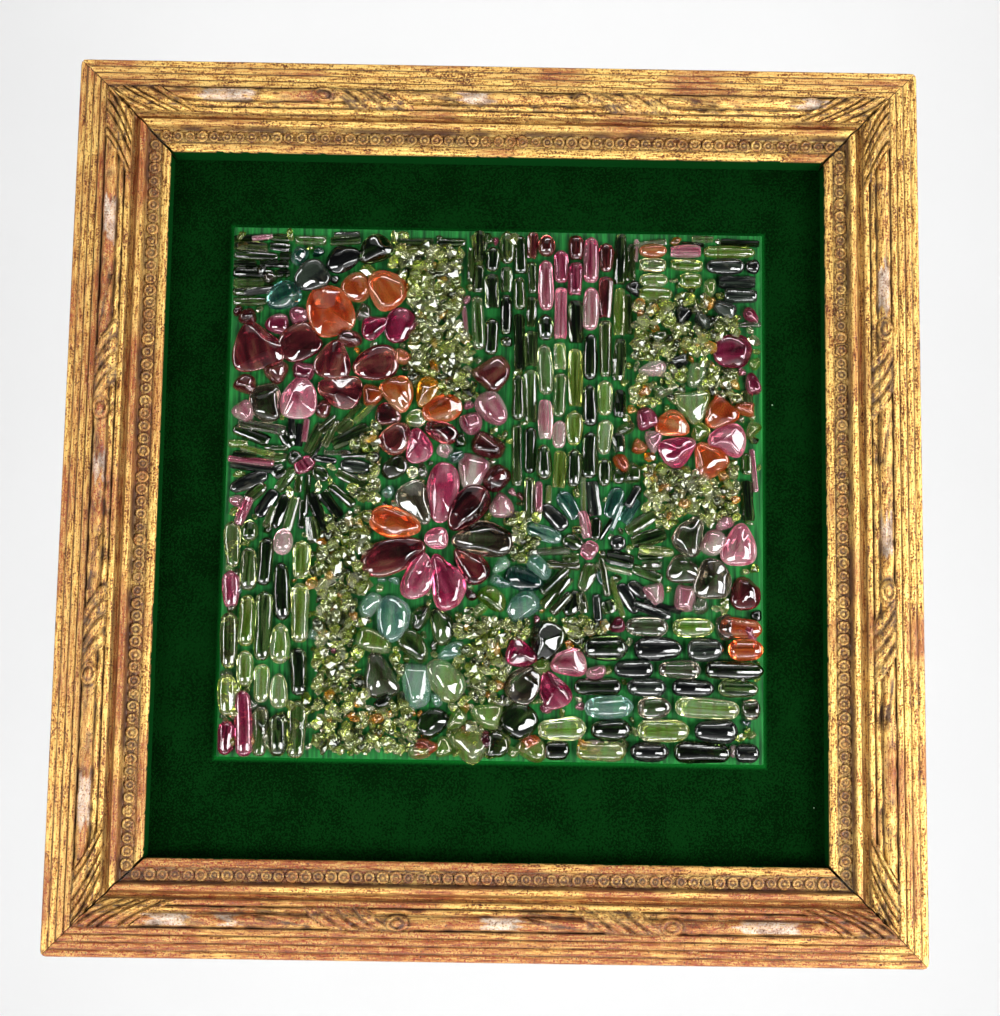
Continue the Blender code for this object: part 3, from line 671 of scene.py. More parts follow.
        # The outer corners are rounded by handling: what lies past the arc is drawn in to it
        radius = self.corner_radius
        over = np.clip(np.abs(run) - (half - radius), 0, None)
        under = np.clip(radius - across, 0, None)
        far = np.hypot(over, under)
        pull = np.where((over > 0) & (under > 0) & (far > radius), radius / np.maximum(far, 1e-9), 1.0)
        rail.run = np.where(pull < 1, np.sign(run) * (half - radius + over * pull), run)
        rail.across = np.where(pull < 1, radius - under * pull, across)

    def outline(self) -> Arrays:
        """Trace the rail's closed section.

        Returns:
            Places across, heights, and which points lie on the carved face.
        """
        face = np.linspace(0, self.width, self.face_points)
        across, level = [face], [self.face_levels(face)]
        on_face = [np.ones(len(face), bool)]
        corners = ((self.width, SIGHT_LEVEL, 7), (self.width, LIP_BACK_LEVEL, 2),
                   (self.back_width, LIP_BACK_LEVEL, 3), (self.back_width, 0.0, 8), (0.0, 0.0, 7),
                   (0.0, SIGHT_LEVEL + self.outer_rise, 0))
        for (a0, h0, steps), (a1, h1, _) in zip(corners, corners[1:]):
            shares = np.arange(1, steps + 1) / steps
            across.append(a0 + (a1 - a0) * shares)
            level.append(h0 + (h1 - h0) * shares)
            on_face.append(np.zeros(steps, bool))
        return np.concatenate(across), np.concatenate(level), np.concatenate(on_face)

    def columns(self, side: Side) -> np.ndarray:
        """Place a rail's cross sections, closer together in the carving.

        Args:
            side: the side of the frame.

        Returns:
            Shares of the rail's half length, from -1 to 1.
        """
        half = side.length / 2 - self.torus_start
        places = [0.0]
        while places[-1] < half:
            place = places[-1]
            reach = 0.034 if place > self.cluster_offset else 0.030
            carved = abs(place - self.cluster_offset) < reach or place > half - 0.030
            places.append(place + (self.fine_step if carved else self.coarse_step))
        ahead = np.array(places[1:-1]) / half
        return np.concatenate((-np.append(ahead, 1.0)[::-1], [0.0], np.append(ahead, 1.0)))

    def tag_rail(self, piece: Object, side: Side, rail: RailSurface) -> None:
        """Keep on a rail what its gilding shows: where dirt and painted shade lie, and where the leaf is worn
        or lost.

        Args:
            piece: the rail.
            side: the side of the frame.
            rail: the rail's surface.
        """
        run, across, seed = rail.run, rail.across, len(side.name)
        thin = np.clip(patchwork(run / 0.03, across / 0.006, seed + 3) - 0.62 + 0.28 * side.age, 0, 0.3) / 0.3
        crest = np.exp(-((across - self.torus_start - self.torus_width / 2) / 0.0026) ** 2)
        cove = np.exp(-((across - self.cove_start - self.cove_width / 2) / 0.001) ** 2)
        worn = np.clip(thin * 0.8 + crest * (0.25 + side.age * 0.4) + cove * 0.5, 0, 1) * rail.on_face
        # Red bole where the leaf is rubbed through, most on the outer reeds; it also darkens the bottom and
        # left rails as painted shade
        red = side.age * (0.22 + 0.6 * patchwork(run / 0.02, across / 0.005, seed + 12)) * rail.on_face
        red = red * np.where(across < self.torus_start, 1.7, 0.7)
        # Dirt and painted shade: darker in the moulding's grooves, in the carving's recesses and in the hollows
        plain = self.groove_depth(across) * (rail.depth < 0.01)
        groove = np.where(rail.on_face, np.maximum(plain, rail.depth * 0.9), 0.15)
        groove = groove * (0.40 + 0.85 * patchwork(run / 0.008, across / 0.003, seed)) + rail.hollow
        # The wall under the sight edge has the mark 2, which paints it in dark green shade
        wall = (across > self.width - 0.0001) & (rail.level < SIGHT_LEVEL - 0.0001)
        ragged = patchwork(run / 0.003, across / 0.002, seed + 9)
        tag_points(piece, "rail_place", np.column_stack((run + seed, across, rail.level)))
        tag_points(piece, "groove", np.where(wall, 2.0, np.clip(groove, 0, 1)))
        tag_points(piece, "worn", np.clip(worn + red + rail.lost * 0.6, 0, 1))
        tag_points(piece, "bare", rail.lost * (0.5 + 0.7 * ragged))

    def close_rail(self) -> None:
        """Weld the seam of the wrapped grid, close its two ends and turn its faces outward."""
        bpy.ops.object.mode_set(mode="EDIT")
        bpy.ops.mesh.select_all(action="SELECT")
        bpy.ops.mesh.remove_doubles(threshold=0.00001)
        bpy.ops.mesh.select_all(action="DESELECT")
        bpy.ops.mesh.select_non_manifold(extend=False)
        bpy.ops.mesh.fill_holes(sides=0)
        bpy.ops.object.mode_set(mode="OBJECT")
        face_outward()
        bpy.ops.object.shade_smooth_by_angle(angle=math.radians(50))

    def build_rail(self, side: Side, gilt: Material, wood: Material) -> None:
        """Model one rail from a grid that is wrapped round its section.

        Args:
            side: the side of the frame.
            gilt: the material of the face and the edges.
            wood: the material of the back.
        """
        ring_across, ring_level, ring_face = self.outline()
        columns = self.columns(side)
        bpy.ops.object.select_all(action="DESELECT")
        bpy.ops.mesh.primitive_grid_add(x_subdivisions=len(columns) - 1,
                                        y_subdivisions=len(ring_across) - 1, size=2.0)
        piece = start_piece(f"gilt_rail_{side.name}")
        points = get_points(piece)
        shares = columns[np.round((points[:, 0] + 1) / 2 * (len(columns) - 1)).astype(int)]
        row = np.round((points[:, 1] + 1) / 2 * (len(ring_across) - 1)).astype(int)
        across = ring_across[row]
        rail = RailSurface(shares * (side.length / 2 - across), across, ring_level[row], ring_face[row])
        self.wear(side, rail)
        self.close_corners(side, rail, shares)
        set_points(piece, side.place(rail.run, rail.across, rail.level))
        self.tag_rail(piece, side, rail)
        self.close_rail()
        count = len(piece.data.polygons) * 3
        centres, normals = np.empty(count), np.empty(count)
        piece.data.polygons.foreach_get("center", centres)
        piece.data.polygons.foreach_get("normal", normals)
        behind = centres.reshape(-1, 3)[:, 1] > -LIP_BACK_LEVEL - 0.0001
        outward = normals.reshape(-1, 3) @ np.array((-side.inward[0], 0.0, -side.inward[1]))
        dress(piece, "gilding", gilt, wood)
        piece.data.polygons.foreach_set("material_index", (behind & (outward < 0.5)).astype(np.int32))
        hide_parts(f"frame_rail_{side.name}")

    def build_beads(self, side: Side, gilt: Material) -> None:
        """Model one bead and repeat it along the channel beside the sight edge.

        Args:
            side: the side of the frame.
            gilt: the gilding.
        """
        ends = self.bead_line + math.sqrt(2) * (self.bead_width / 2 + self.mitre_gap)
        room = side.length - 2 * ends - 0.0008
        count = int(room / self.bead_pitch)
        pitch = room / count
        bpy.ops.object.select_all(action="DESELECT")
        bpy.ops.mesh.primitive_uv_sphere_add(segments=14, ring_count=12, radius=1.0)
        beads = start_piece(f"gilt_beads_{side.name}")
        points = get_points(beads)
        far = np.hypot(points[:, 0], points[:, 1])
        moat = np.where(points[:, 2] > 0, 0.7 * np.exp(-((far - 0.4) / 0.17) ** 2), 0)
        points[:, 2] = np.where(points[:, 2] < 0, points[:, 2] * 0.2, points[:, 2] * 0.4 + 0.6) - moat
        points[:, 2] *= np.where(far > 0.97, 0.1, 1.0)
        points[:, 0] *= self.bead_width / 2
        points[:, 1] *= self.bead_width / 2 * 1.08
        points[:, 2] *= self.bead_rise
        set_points(beads, points)
        array = beads.modifiers.new("row", "ARRAY")
        array.count = count + 1
        array.use_relative_offset = False
        array.use_constant_offset = True
        array.constant_offset_displace = (pitch, 0, 0)
        bpy.ops.object.modifier_apply(modifier="row")
        points = get_points(beads)
        number = np.round(points[:, 0] / pitch)
        own = points[:, 0] - number * pitch
        drawn = random.Random(side.name)
        size = np.array([drawn.uniform(0.88, 1.08) for _ in range(count + 1)])[number.astype(int)]
        shift = np.array([drawn.uniform(-0.0003, 0.0003) for _ in range(count + 1)])[number.astype(int)]
        run = number * pitch - room / 2 + own * size + shift
        across = self.bead_line + points[:, 1] * size
        height = points[:, 2] * size
        level = SIGHT_LEVEL + self.channel_rise - 0.0002 + height
        set_points(beads, side.place(run, across, level))
        tag_points(beads, "rail_place", np.column_stack((run + len(side.name), across, level)))
        # Painted shade low on each bead and between the beads, with dirt in patches
        dirt = patchwork(run / 0.0021, across / 0.0017, 61)
        tag_points(beads, "groove", np.clip(1.22 - height / self.bead_rise * 1.5 + 0.7 * dirt, 0, 1))
        tag_points(beads, "worn", 0.1 + 0.3 * side.age + 0.5 * patchwork(run / 0.012, across / 0.004, 62))
        tag_points(beads, "bare", np.zeros(len(run)))
        face_outward()
        bpy.ops.object.shade_smooth()
        dress(beads, "gilding", gilt)

    def build(self) -> None:
        """Build the four rails with their beads."""
        gilt, wood = Gilding().material(), BareWood().material()
        for side in self.sides:
            self.build_rail(side, gilt, wood)
            self.build_beads(side, gilt)


class Form(StrEnum):
    """The forms of stone in the picture."""

    PEBBLE = "pebble"
    ROD = "rod"
    BAR = "bar"
    CHIP = "chip"


@dataclass
class Stone:
    """A tumbled stone of the picture: place and footprint in shares of its side, height in metres."""

    name: str
    form: Form
    x: float
    y: float
    length: float
    width: float
    height: float
    turn: float
    tint: str
    taper: float = 0.0
    square: float = 0.9
    wave: float = 0.0
    phase: float = 0.0
    lift: float = -0.0004

    def turned(self, px: float, py: float) -> Pair:
        """Return the picture's point for a point given along and across the stone."""
        ct, st = math.cos(self.turn), math.sin(self.turn)
        return self.x + px * ct - py * st, self.y + px * st + py * ct

    def rim(self, angle: float, share: float = 1.0) -> Pair:
        """Find a point of the footprint.

        Args:
            angle: where round the stone, in radians.
            share: how far out from the middle, 1 at the edge.

        Returns:
            The picture's point there.
        """
        c, s = math.cos(angle), math.sin(angle)
        ahead = math.copysign(abs(c) ** self.square, c)
        aside = math.copysign(abs(s) ** self.square, s) * (1 + self.taper * ahead)
        swell = share * (1 - self.wave * (1 + math.cos(3 * angle + self.phase)) / 2)
        return self.turned(ahead * self.length / 2 * swell, aside * self.width / 2 * swell)

    def footprint(self) -> Corners:
        """Trace the stone's footprint.

        Returns:
            Its corner points, counter-clockwise.
        """
        if self.form in (Form.ROD, Form.BAR, Form.CHIP):
            hl, hw = self.length / 2, self.width / 2
            return [self.turned(px, py) for px, py in ((hl, hw), (-hl, hw), (-hl, -hw), (hl, -hw))]
        return [self.rim(math.tau * k / 16) for k in range(16)]


def apart(first: Corners, second: Corners, gap: float) -> bool:
    """Tell whether some line parallel to an edge parts two footprints by at least the gap.

    Args:
        first: corner points of one footprint.
        second: corner points of the other.
        gap: the least space between them.

    Returns:
        True when they are that far apart.
    """
    for polygon in (first, second):
        for k, (x0, y0) in enumerate(polygon):
            x1, y1 = polygon[(k + 1) % len(polygon)]
            nx, ny = y1 - y0, x0 - x1
            size = math.hypot(nx, ny)
            if size < 1e-9:
                continue
            one = [(x * nx + y * ny) / size for x, y in first]
            two = [(x * nx + y * ny) / size for x, y in second]
            if min(two) - max(one) >= gap or min(one) - max(two) >= gap:
                return True
    return False


def along(points: Corners, distance: float) -> Triple:
    """Walk along a run of straight stretches.

    Args:
        points: the corners of the run.
        distance: how far to walk.

    Returns:
        The place reached and the direction there, in radians.
    """
    for (x0, y0), (x1, y1) in zip(points, points[1:]):
        step = math.dist((x0, y0), (x1, y1))
        if distance <= step:
            break
        distance -= step
    share = min(distance / step, 1.0)
    return x0 + (x1 - x0) * share, y0 + (y1 - y0) * share, math.atan2(y1 - y0, x1 - x0)


def inside(x: float, y: float, points: Corners) -> bool:
    """Tell whether a point lies inside a polygon.

    Args:
        x: the point's place to the right.
        y: the point's place up.
        points: the polygon's corners.

    Returns:
        True when it lies inside.
    """
    result = False
    for (x0, y0), (x1, y1) in zip(points, points[1:] + points[:1]):
        if (y0 > y) != (y1 > y) and x < (x1 - x0) * (y - y0) / (y1 - y0) + x0:
            result = not result
    return result


def spot(right: float, down: float) -> Pair:
    """Return the picture's point, from its middle, at a share from the left and a share from the top."""
    return right - 0.5, 0.5 - down


@dataclass
class Mosaic:
    """The stones laid on the plate so far, and the draws that vary them."""

    stones: list[Stone] = field(default_factory=list)
    prints: list[Corners] = field(default_factory=list)
    draw: random.Random = field(default_factory=lambda: random.Random(LAYOUT_SEED))

    def free(self, stone: Stone) -> bool:
        """Tell whether a stone lies on the plate and clear of every stone laid before.

        Args:
            stone: the stone to be laid.

        Returns:
            True when there is room for it.
        """
        shape = stone.footprint()
        if any(max(abs(x), abs(y)) > 0.5 - EDGE_SHARE for x, y in shape):
            return False
        reach = stone.length + stone.width
        for other, other_shape in zip(self.stones, self.prints):
            near = (reach + other.length + other.width) / 2
            if math.hypot(other.x - stone.x, other.y - stone.y) < near:
                if not apart(shape, other_shape, STONE_GAP_SHARE):
                    return False
        return True

    def lay(self, stone: Stone, shrinks: int = 0) -> bool:
        """Lay a stone where it is free, after making it a little smaller a few times if need be.

        Args:
            stone: the stone to lay.
            shrinks: how often it may be made smaller.

        Returns:
            True when the stone was laid.
        """
        for _ in range(shrinks + 1):
            if self.free(stone):
                self.stones.append(stone)
                self.prints.append(stone.footprint())
                return True
            stone.length *= 0.96
            stone.width *= 0.94
        return False

    def flower(self, name: str, right: float, down: float, start: float, ring: float,
               size: Pair, heart_size: float, tints: Tints, heart: str) -> None:
        """Lay petals, one for each tint, in a ring round a small heart stone.

        Args:
            name: the flower's name, which its stones' names start with.
            right: share of the picture's side from the left to the heart.
            down: share from the top to the heart.
            start: direction of the first petal, in radians.
            ring: distance from the heart to a petal's middle.
            size: a petal's length and width.
            heart_size: the heart's length.
            tints: the petals' tints in order.
            heart: the heart's tint.
        """
        cx, cy = spot(right, down)
        length, width = size
        self.lay(Stone(f"{name}_heart", Form.PEBBLE, cx, cy, heart_size, heart_size * 0.86,
                       PEBBLE_HEIGHT * 0.9, start, heart, wave=0.1))
        for k, tint in enumerate(tints):
            angle = start + math.tau * k / len(tints) + self.draw.uniform(-0.06, 0.06)
            out = ring * self.draw.uniform(0.96, 1.08)
            stone = Stone(
                name=f"{name}_petal_{k + 1}", form=Form.PEBBLE,
                x=cx + out * math.cos(angle), y=cy + out * math.sin(angle),
                length=length * self.draw.uniform(0.9, 1.12), width=width * self.draw.uniform(0.9, 1.1),
                height=PEBBLE_HEIGHT * self.draw.uniform(0.9, 1.15),
                turn=angle + self.draw.uniform(-0.15, 0.15), tint=tint,
                taper=0.32, square=0.86, wave=self.draw.uniform(0.05, 0.16),
                phase=self.draw.uniform(0, math.tau),
            )
            self.lay(stone, shrinks=14)

    def pebble(self, name: str, x: float, y: float, length: float, slim: Pair,
               tints: Tints, turn: float | None = None) -> Stone:
        """Make a pebble with drawn proportions, tint and turn.

        Args:
            name: its piece's name, or nothing.
            x: its middle to the right.
            y: its middle up.
            length: its length.
            slim: least and most share of the length that its width takes.
            tints: the tints to draw from.
            turn: its direction in radians, drawn when not given.

        Returns:
            The pebble, not yet laid.
        """
        return Stone(
            name=name, form=Form.PEBBLE, x=x, y=y, length=length, width=length * self.draw.uniform(*slim),
            height=PEBBLE_HEIGHT * self.draw.uniform(0.8, 1.1),
            turn=self.draw.uniform(0, math.pi) if turn is None else turn,
            tint=self.draw.choice(tints), taper=self.draw.uniform(-0.3, 0.3),
            square=self.draw.uniform(0.72, 1.0), wave=self.draw.uniform(0.0, 0.2),
            phase=self.draw.uniform(0, math.tau),
        )

    def chain(self, name: str, route: tuple[Pair, ...], slim: Pair,
              tints: Tints) -> None:
        """Lay pebbles, one for each tint, one after another along a route.

        Args:
            name: what the pebbles' names start with.
            route: the corners of the route.
            slim: least and most share of the length that a width takes.
            tints: the pebbles' tints in order.
        """
        points = [spot(*p) for p in route]
        step = sum(math.dist(a, b) for a, b in zip(points, points[1:])) / len(tints)
        for k, tint in enumerate(tints):
            x, y, turn = along(points, (k + 0.5) * step)
            lean = turn + self.draw.uniform(-0.3, 0.3)
            stone = self.pebble(f"{name}_{k + 1}", x, y, step - STONE_GAP_SHARE, slim, (tint,), lean)
            self.lay(stone, shrinks=14)

    def cluster(self, name: str, corners: tuple[Pair, ...],
                sizes: tuple[tuple[float, int], ...], tints: Tints, named: int = 0,
                slim: Pair = (0.66, 0.95)) -> None:
        """Fill a region with pebbles.

        Args:
            name: what the names of the first pebbles start with.
            corners: the region's corners.
            sizes: pairs of a length and how many pebbles of it are laid at most.
            tints: the tints to draw from.
            named: how many of the first pebbles are pieces of their own.
            slim: least and most share of the length that a width takes.
        """
        points = [spot(*p) for p in corners]
        xs, ys = [p[0] for p in points], [p[1] for p in points]
        count = 0
        for length, most in sizes:
            last = count + most
            for _ in range(CLUSTER_TRIES):
                x, y = self.draw.uniform(min(xs), max(xs)), self.draw.uniform(min(ys), max(ys))
                if count < last and inside(x, y, points):
                    label = f"{name}_{count + 1}" if count < named else ""
                    if self.lay(self.pebble(label, x, y, length, slim, tints)):
                        count += 1

    def rod(self, x: float, y: float, length: float, width: float, turn: float, tint: str) -> None:
        """Lay a rod, shortened where it would meet a neighbour.

        Args:
            x: its middle to the right.
            y: its middle up.
            length: its full length.
            width: its width.
            turn: its direction, in radians.
            tint: its tint.
        """
        for share in (1.0, 0.8, 0.62, 0.48):
            height = width * PLATE_WIDTH * ROD_THICKNESS_SHARE
            if self.lay(Stone("", Form.ROD, x, y, length * share, width, height, turn, tint)):
                return

    def rod_rows(self, left: float, top: float, right: float, bottom: float, upright: bool,
                 widths: Pair, lengths: Pair, tints: Tints,
                 patches: tuple[tuple[float, float, float, Tints], ...] = ()) -> None:
        """Fill a block with rows of rods laid end to end, each row starting at its own place.

        Args:
            left: share of the picture's side from the left to the block.
            top: share from the top to the block.
            right: share from the left to the block's right side.
            bottom: share from the top to the block's foot.
            upright: whether the rods stand upright in the picture.
            widths: least and most width of a row.
            lengths: least and most length of a rod.
            tints: the tints to draw from.
            patches: places with tints of their own, by place, radius and tints.
        """
        x0, y1 = spot(left, top)
        x1, y0 = spot(right, bottom)
        low, high = (x0, x1) if upright else (y0, y1)
        first, last = (y0, y1) if upright else (x0, x1)
        lean = math.pi / 2 if upright else 0.0
        across = low + 2 * EDGE_SHARE
        width = self.draw.uniform(*widths)
        while across + width < high:
            place = first - self.draw.uniform(0, lengths[0] / 2)
            while place < last:
                full = self.draw.uniform(*lengths)
                begin, end = max(place, first + 2 * EDGE_SHARE), min(place + full, last - 2 * EDGE_SHARE)
                place += full + STONE_GAP_SHARE
                if end - begin < width:
                    continue
                middle, side = (begin + end) / 2, across + width / 2
                x, y = (side, middle) if upright else (middle, side)
                options = tints
                for patch_right, patch_down, radius, patch_tints in patches:
                    if math.dist((x, y), spot(patch_right, patch_down)) < radius:
                        options = patch_tints
                turn = lean + self.draw.uniform(-0.03, 0.03)
                rod_width = width * self.draw.uniform(0.86, 0.98)
                self.rod(x, y, end - begin, rod_width, turn, self.draw.choice(options))
            across += width + STONE_GAP_SHARE
            width = self.draw.uniform(*widths)

    def burst(self, right: float, down: float, rings: tuple[tuple[float, float, int], ...],
              widths: Pair, tints: Tints) -> None:
        """Lay thin rods that point away from a centre.

        Args:
            right: share of the picture's side from the left to the centre.
            down: share from the top to the centre.
            rings: inner radius, rod length and number of rods of each ring.
            widths: least and most width of a rod.
            tints: the tints to draw from.
        """
        cx, cy = spot(right, down)
        for inner, length, count in rings:
            start = self.draw.uniform(0, math.tau)
            for k in range(count):
                angle = start + math.tau * k / count + self.draw.uniform(-0.1, 0.1)
                out = inner + length / 2
                width = self.draw.uniform(*widths)
                turn = angle + self.draw.uniform(-0.12, 0.12)
                self.rod(cx + out * math.cos(angle), cy + out * math.sin(angle),
                         length * self.draw.uniform(0.8, 1.1), width, turn, self.draw.choice(tints))


def lay_flowers(mosaic: Mosaic) -> None:
    """Lay the four flowers of the picture.

    Args:
        mosaic: the mosaic to lay them in.
    """
    mosaic.flower("left_flower", 0.351, 0.366, 0.38, 0.053, (0.066, 0.052), 0.034,
                  ("orange", "amber", "orange", "maroon", "maroon", "raspberry", "maroon"), "clear")
    mosaic.flower("centre_flower", 0.395, 0.592, 0.07, 0.079, (0.096, 0.061), 0.042,
                  ("smoky", "maroon", "raspberry", "smoky", "orange", "maroon", "raspberry", "raspberry",
                   "maroon"), "pink")
    mosaic.flower("right_flower", 0.883, 0.383, 0.78, 0.052, (0.064, 0.054), 0.034,
                  ("orange", "clear", "orange", "raspberry", "orange", "pink"), "clear")
    mosaic.flower("lower_flower", 0.594, 0.826, 0.17, 0.046, (0.062, 0.052), 0.028,
                  ("pink", "dark_green", "raspberry", "smoky", "raspberry"), "clear")


def lay_pebbles(mosaic: Mosaic) -> None:
    """Lay the pebbles: a dark chain, a field of garnet tones, and smaller groups.

    Args:
        mosaic: the mosaic to lay them in.
    """
    mosaic.chain("dark_pebble", ((0.075, 0.155), (0.145, 0.1), (0.2, 0.062), (0.3, 0.035)), (0.74, 0.86),
                 ("teal", "black", "black", "dark_green"))
    garnet_field = ((0.0, 0.165), (0.1, 0.185), (0.2, 0.12), (0.3, 0.1), (0.335, 0.26), (0.27, 0.34),
                    (0.17, 0.375), (0.0, 0.36))
    mosaic.cluster("garnet_pebble", garnet_field,
                   ((0.088, 2), (0.072, 6), (0.062, 9), (0.052, 12), (0.042, 16), (0.034, 20)),
                   ("maroon", "raspberry", "maroon", "orange", "maroon", "pink", "raspberry", "smoky"),
                   named=11)
    mosaic.cluster("rose_pebble", ((0.85, 0.555), (1.0, 0.555), (1.0, 0.695), (0.85, 0.695)),
                   ((0.072, 3), (0.06, 3), (0.048, 4), (0.034, 6)), ("pink", "smoky", "maroon", "pink"),
                   named=3)
    mosaic.cluster("", ((0.93, 0.2), (0.99, 0.2), (0.99, 0.28), (0.93, 0.28)), ((0.07, 1),), ("raspberry",))
    mosaic.cluster("", ((0.455, 0.26), (0.515, 0.26), (0.515, 0.53), (0.455, 0.53)),
                   ((0.062, 4), (0.05, 4), (0.036, 4)), ("raspberry", "maroon", "pink"))
    mosaic.cluster("", ((0.27, 0.7), (0.44, 0.74), (0.43, 0.9), (0.3, 0.9)),
                   ((0.08, 4), (0.068, 4), (0.05, 6), (0.036, 6)),
                   ("smoky", "dark_green", "aqua", "olive", "clear"), slim=(0.5, 0.7))
    mosaic.cluster("", ((0.5, 0.63), (0.585, 0.63), (0.585, 0.735), (0.5, 0.735)),
                   ((0.066, 2), (0.05, 2), (0.036, 4)), ("aqua", "teal", "clear"), slim=(0.5, 0.72))
    mosaic.cluster("", ((0.36, 0.9), (0.58, 0.93), (0.58, 1.0), (0.36, 1.0)),
                   ((0.064, 3), (0.054, 4), (0.042, 6), (0.034, 8)),
                   ("clear", "olive", "dark_green", "clear"))
    mosaic.cluster("", ((0.76, 0.1), (0.93, 0.1), (0.93, 0.32), (0.76, 0.32)),
                   ((0.046, 3), (0.036, 6)), ("clear", "olive", "black", "pink"), slim=(0.5, 0.7))


def lay_rods(mosaic: Mosaic) -> None:
    """Lay the rods: two bursts, and blocks of upright and level rows.

    Args:
        mosaic: the mosaic to lay them in.
    """
    mosaic.burst(0.138, 0.447, ((0.0, 0.028, 1),), (0.020, 0.024), ("pink", "raspberry"))
    mosaic.burst(0.138, 0.447, ((0.022, 0.05, 12), (0.076, 0.056, 24)), (0.0125, 0.0165),
                 ("dark_green", "dark_green", "olive", "black"))
    mosaic.burst(0.689, 0.615, ((0.0, 0.028, 1),), (0.020, 0.024), ("pink", "aqua"))
    mosaic.burst(0.689, 0.615, ((0.022, 0.05, 11), (0.076, 0.054, 20)), (0.0145, 0.0195),
                 ("black", "dark_green", "teal", "dark_green", "olive"))
    mosaic.rod_rows(0.0, 0.0, 0.115, 0.155, False, (0.0135, 0.0175), (0.068, 0.112),
                    ("dark_green", "olive", "dark_green"))
    mosaic.rod_rows(0.115, 0.0, 0.45, 0.036, False, (0.0145, 0.0185), (0.056, 0.084),
                    ("dark_green", "olive"))
    mosaic.rod_rows(0.45, 0.0, 0.765, 0.56, True, (0.0205, 0.028), (0.055, 0.11),
                    ("dark_green", "dark_green", "olive", "clear", "dark_green"),
                    ((0.66, 0.1, 0.075, ("pink", "raspberry", "maroon")), (0.6, 0.39, 0.035, ("pink",)),
                     (0.61, 0.29, 0.03, ("olive",)), (0.59, 0.03, 0.03, ("maroon",)),
                     (0.705, 0.03, 0.02, ("orange",))))
    mosaic.rod_rows(0.765, 0.0, 1.0, 0.135, False, (0.024, 0.029), (0.068, 0.1),
                    ("dark_green", "black", "olive", "clear"),
                    ((0.78, 0.02, 0.03, ("orange",)), (0.86, 0.02, 0.04, ("pink", "raspberry")),
                     (0.97, 0.02, 0.035, ("raspberry", "pink"))))
    mosaic.rod_rows(0.955, 0.3, 1.0, 0.55, True, (0.0185, 0.023), (0.06, 0.088), ("dark_green", "olive"))
    mosaic.rod_rows(0.585, 0.7, 1.0, 1.0, False, (0.031, 0.041), (0.068, 0.115),
                    ("dark_green", "black", "dark_green", "black", "smoky", "clear"),
                    ((0.97, 0.77, 0.035, ("orange",)), (0.73, 0.91, 0.03, ("aqua",)),
                     (0.865, 0.71, 0.03, ("teal",)), (0.93, 0.84, 0.05, ("black", "dark_green"))))
    mosaic.rod_rows(0.0, 0.56, 0.185, 1.0, True, (0.025, 0.034), (0.08, 0.13),
                    ("olive", "clear", "dark_green", "olive"),
                    ((0.02, 0.7, 0.045, ("raspberry",)), (0.02, 0.93, 0.04, ("raspberry",)),
                     (0.13, 0.6, 0.03, ("pink",)), (0.17, 0.9, 0.03, ("aqua",)),
                     (0.05, 0.78, 0.02, ("smoky",))))


class Tint(Enum):
    """The colours of stone in the picture."""

    CLEAR = "clear"
    ORANGE = "orange"
    AMBER = "amber"
    MAROON = "maroon"
    RASPBERRY = "raspberry"
    PINK = "pink"
    SMOKY = "smoky"
    DARK_GREEN = "dark_green"
    TEAL = "teal"
    BLACK = "black"
    OLIVE = "olive"
    AQUA = "aqua"


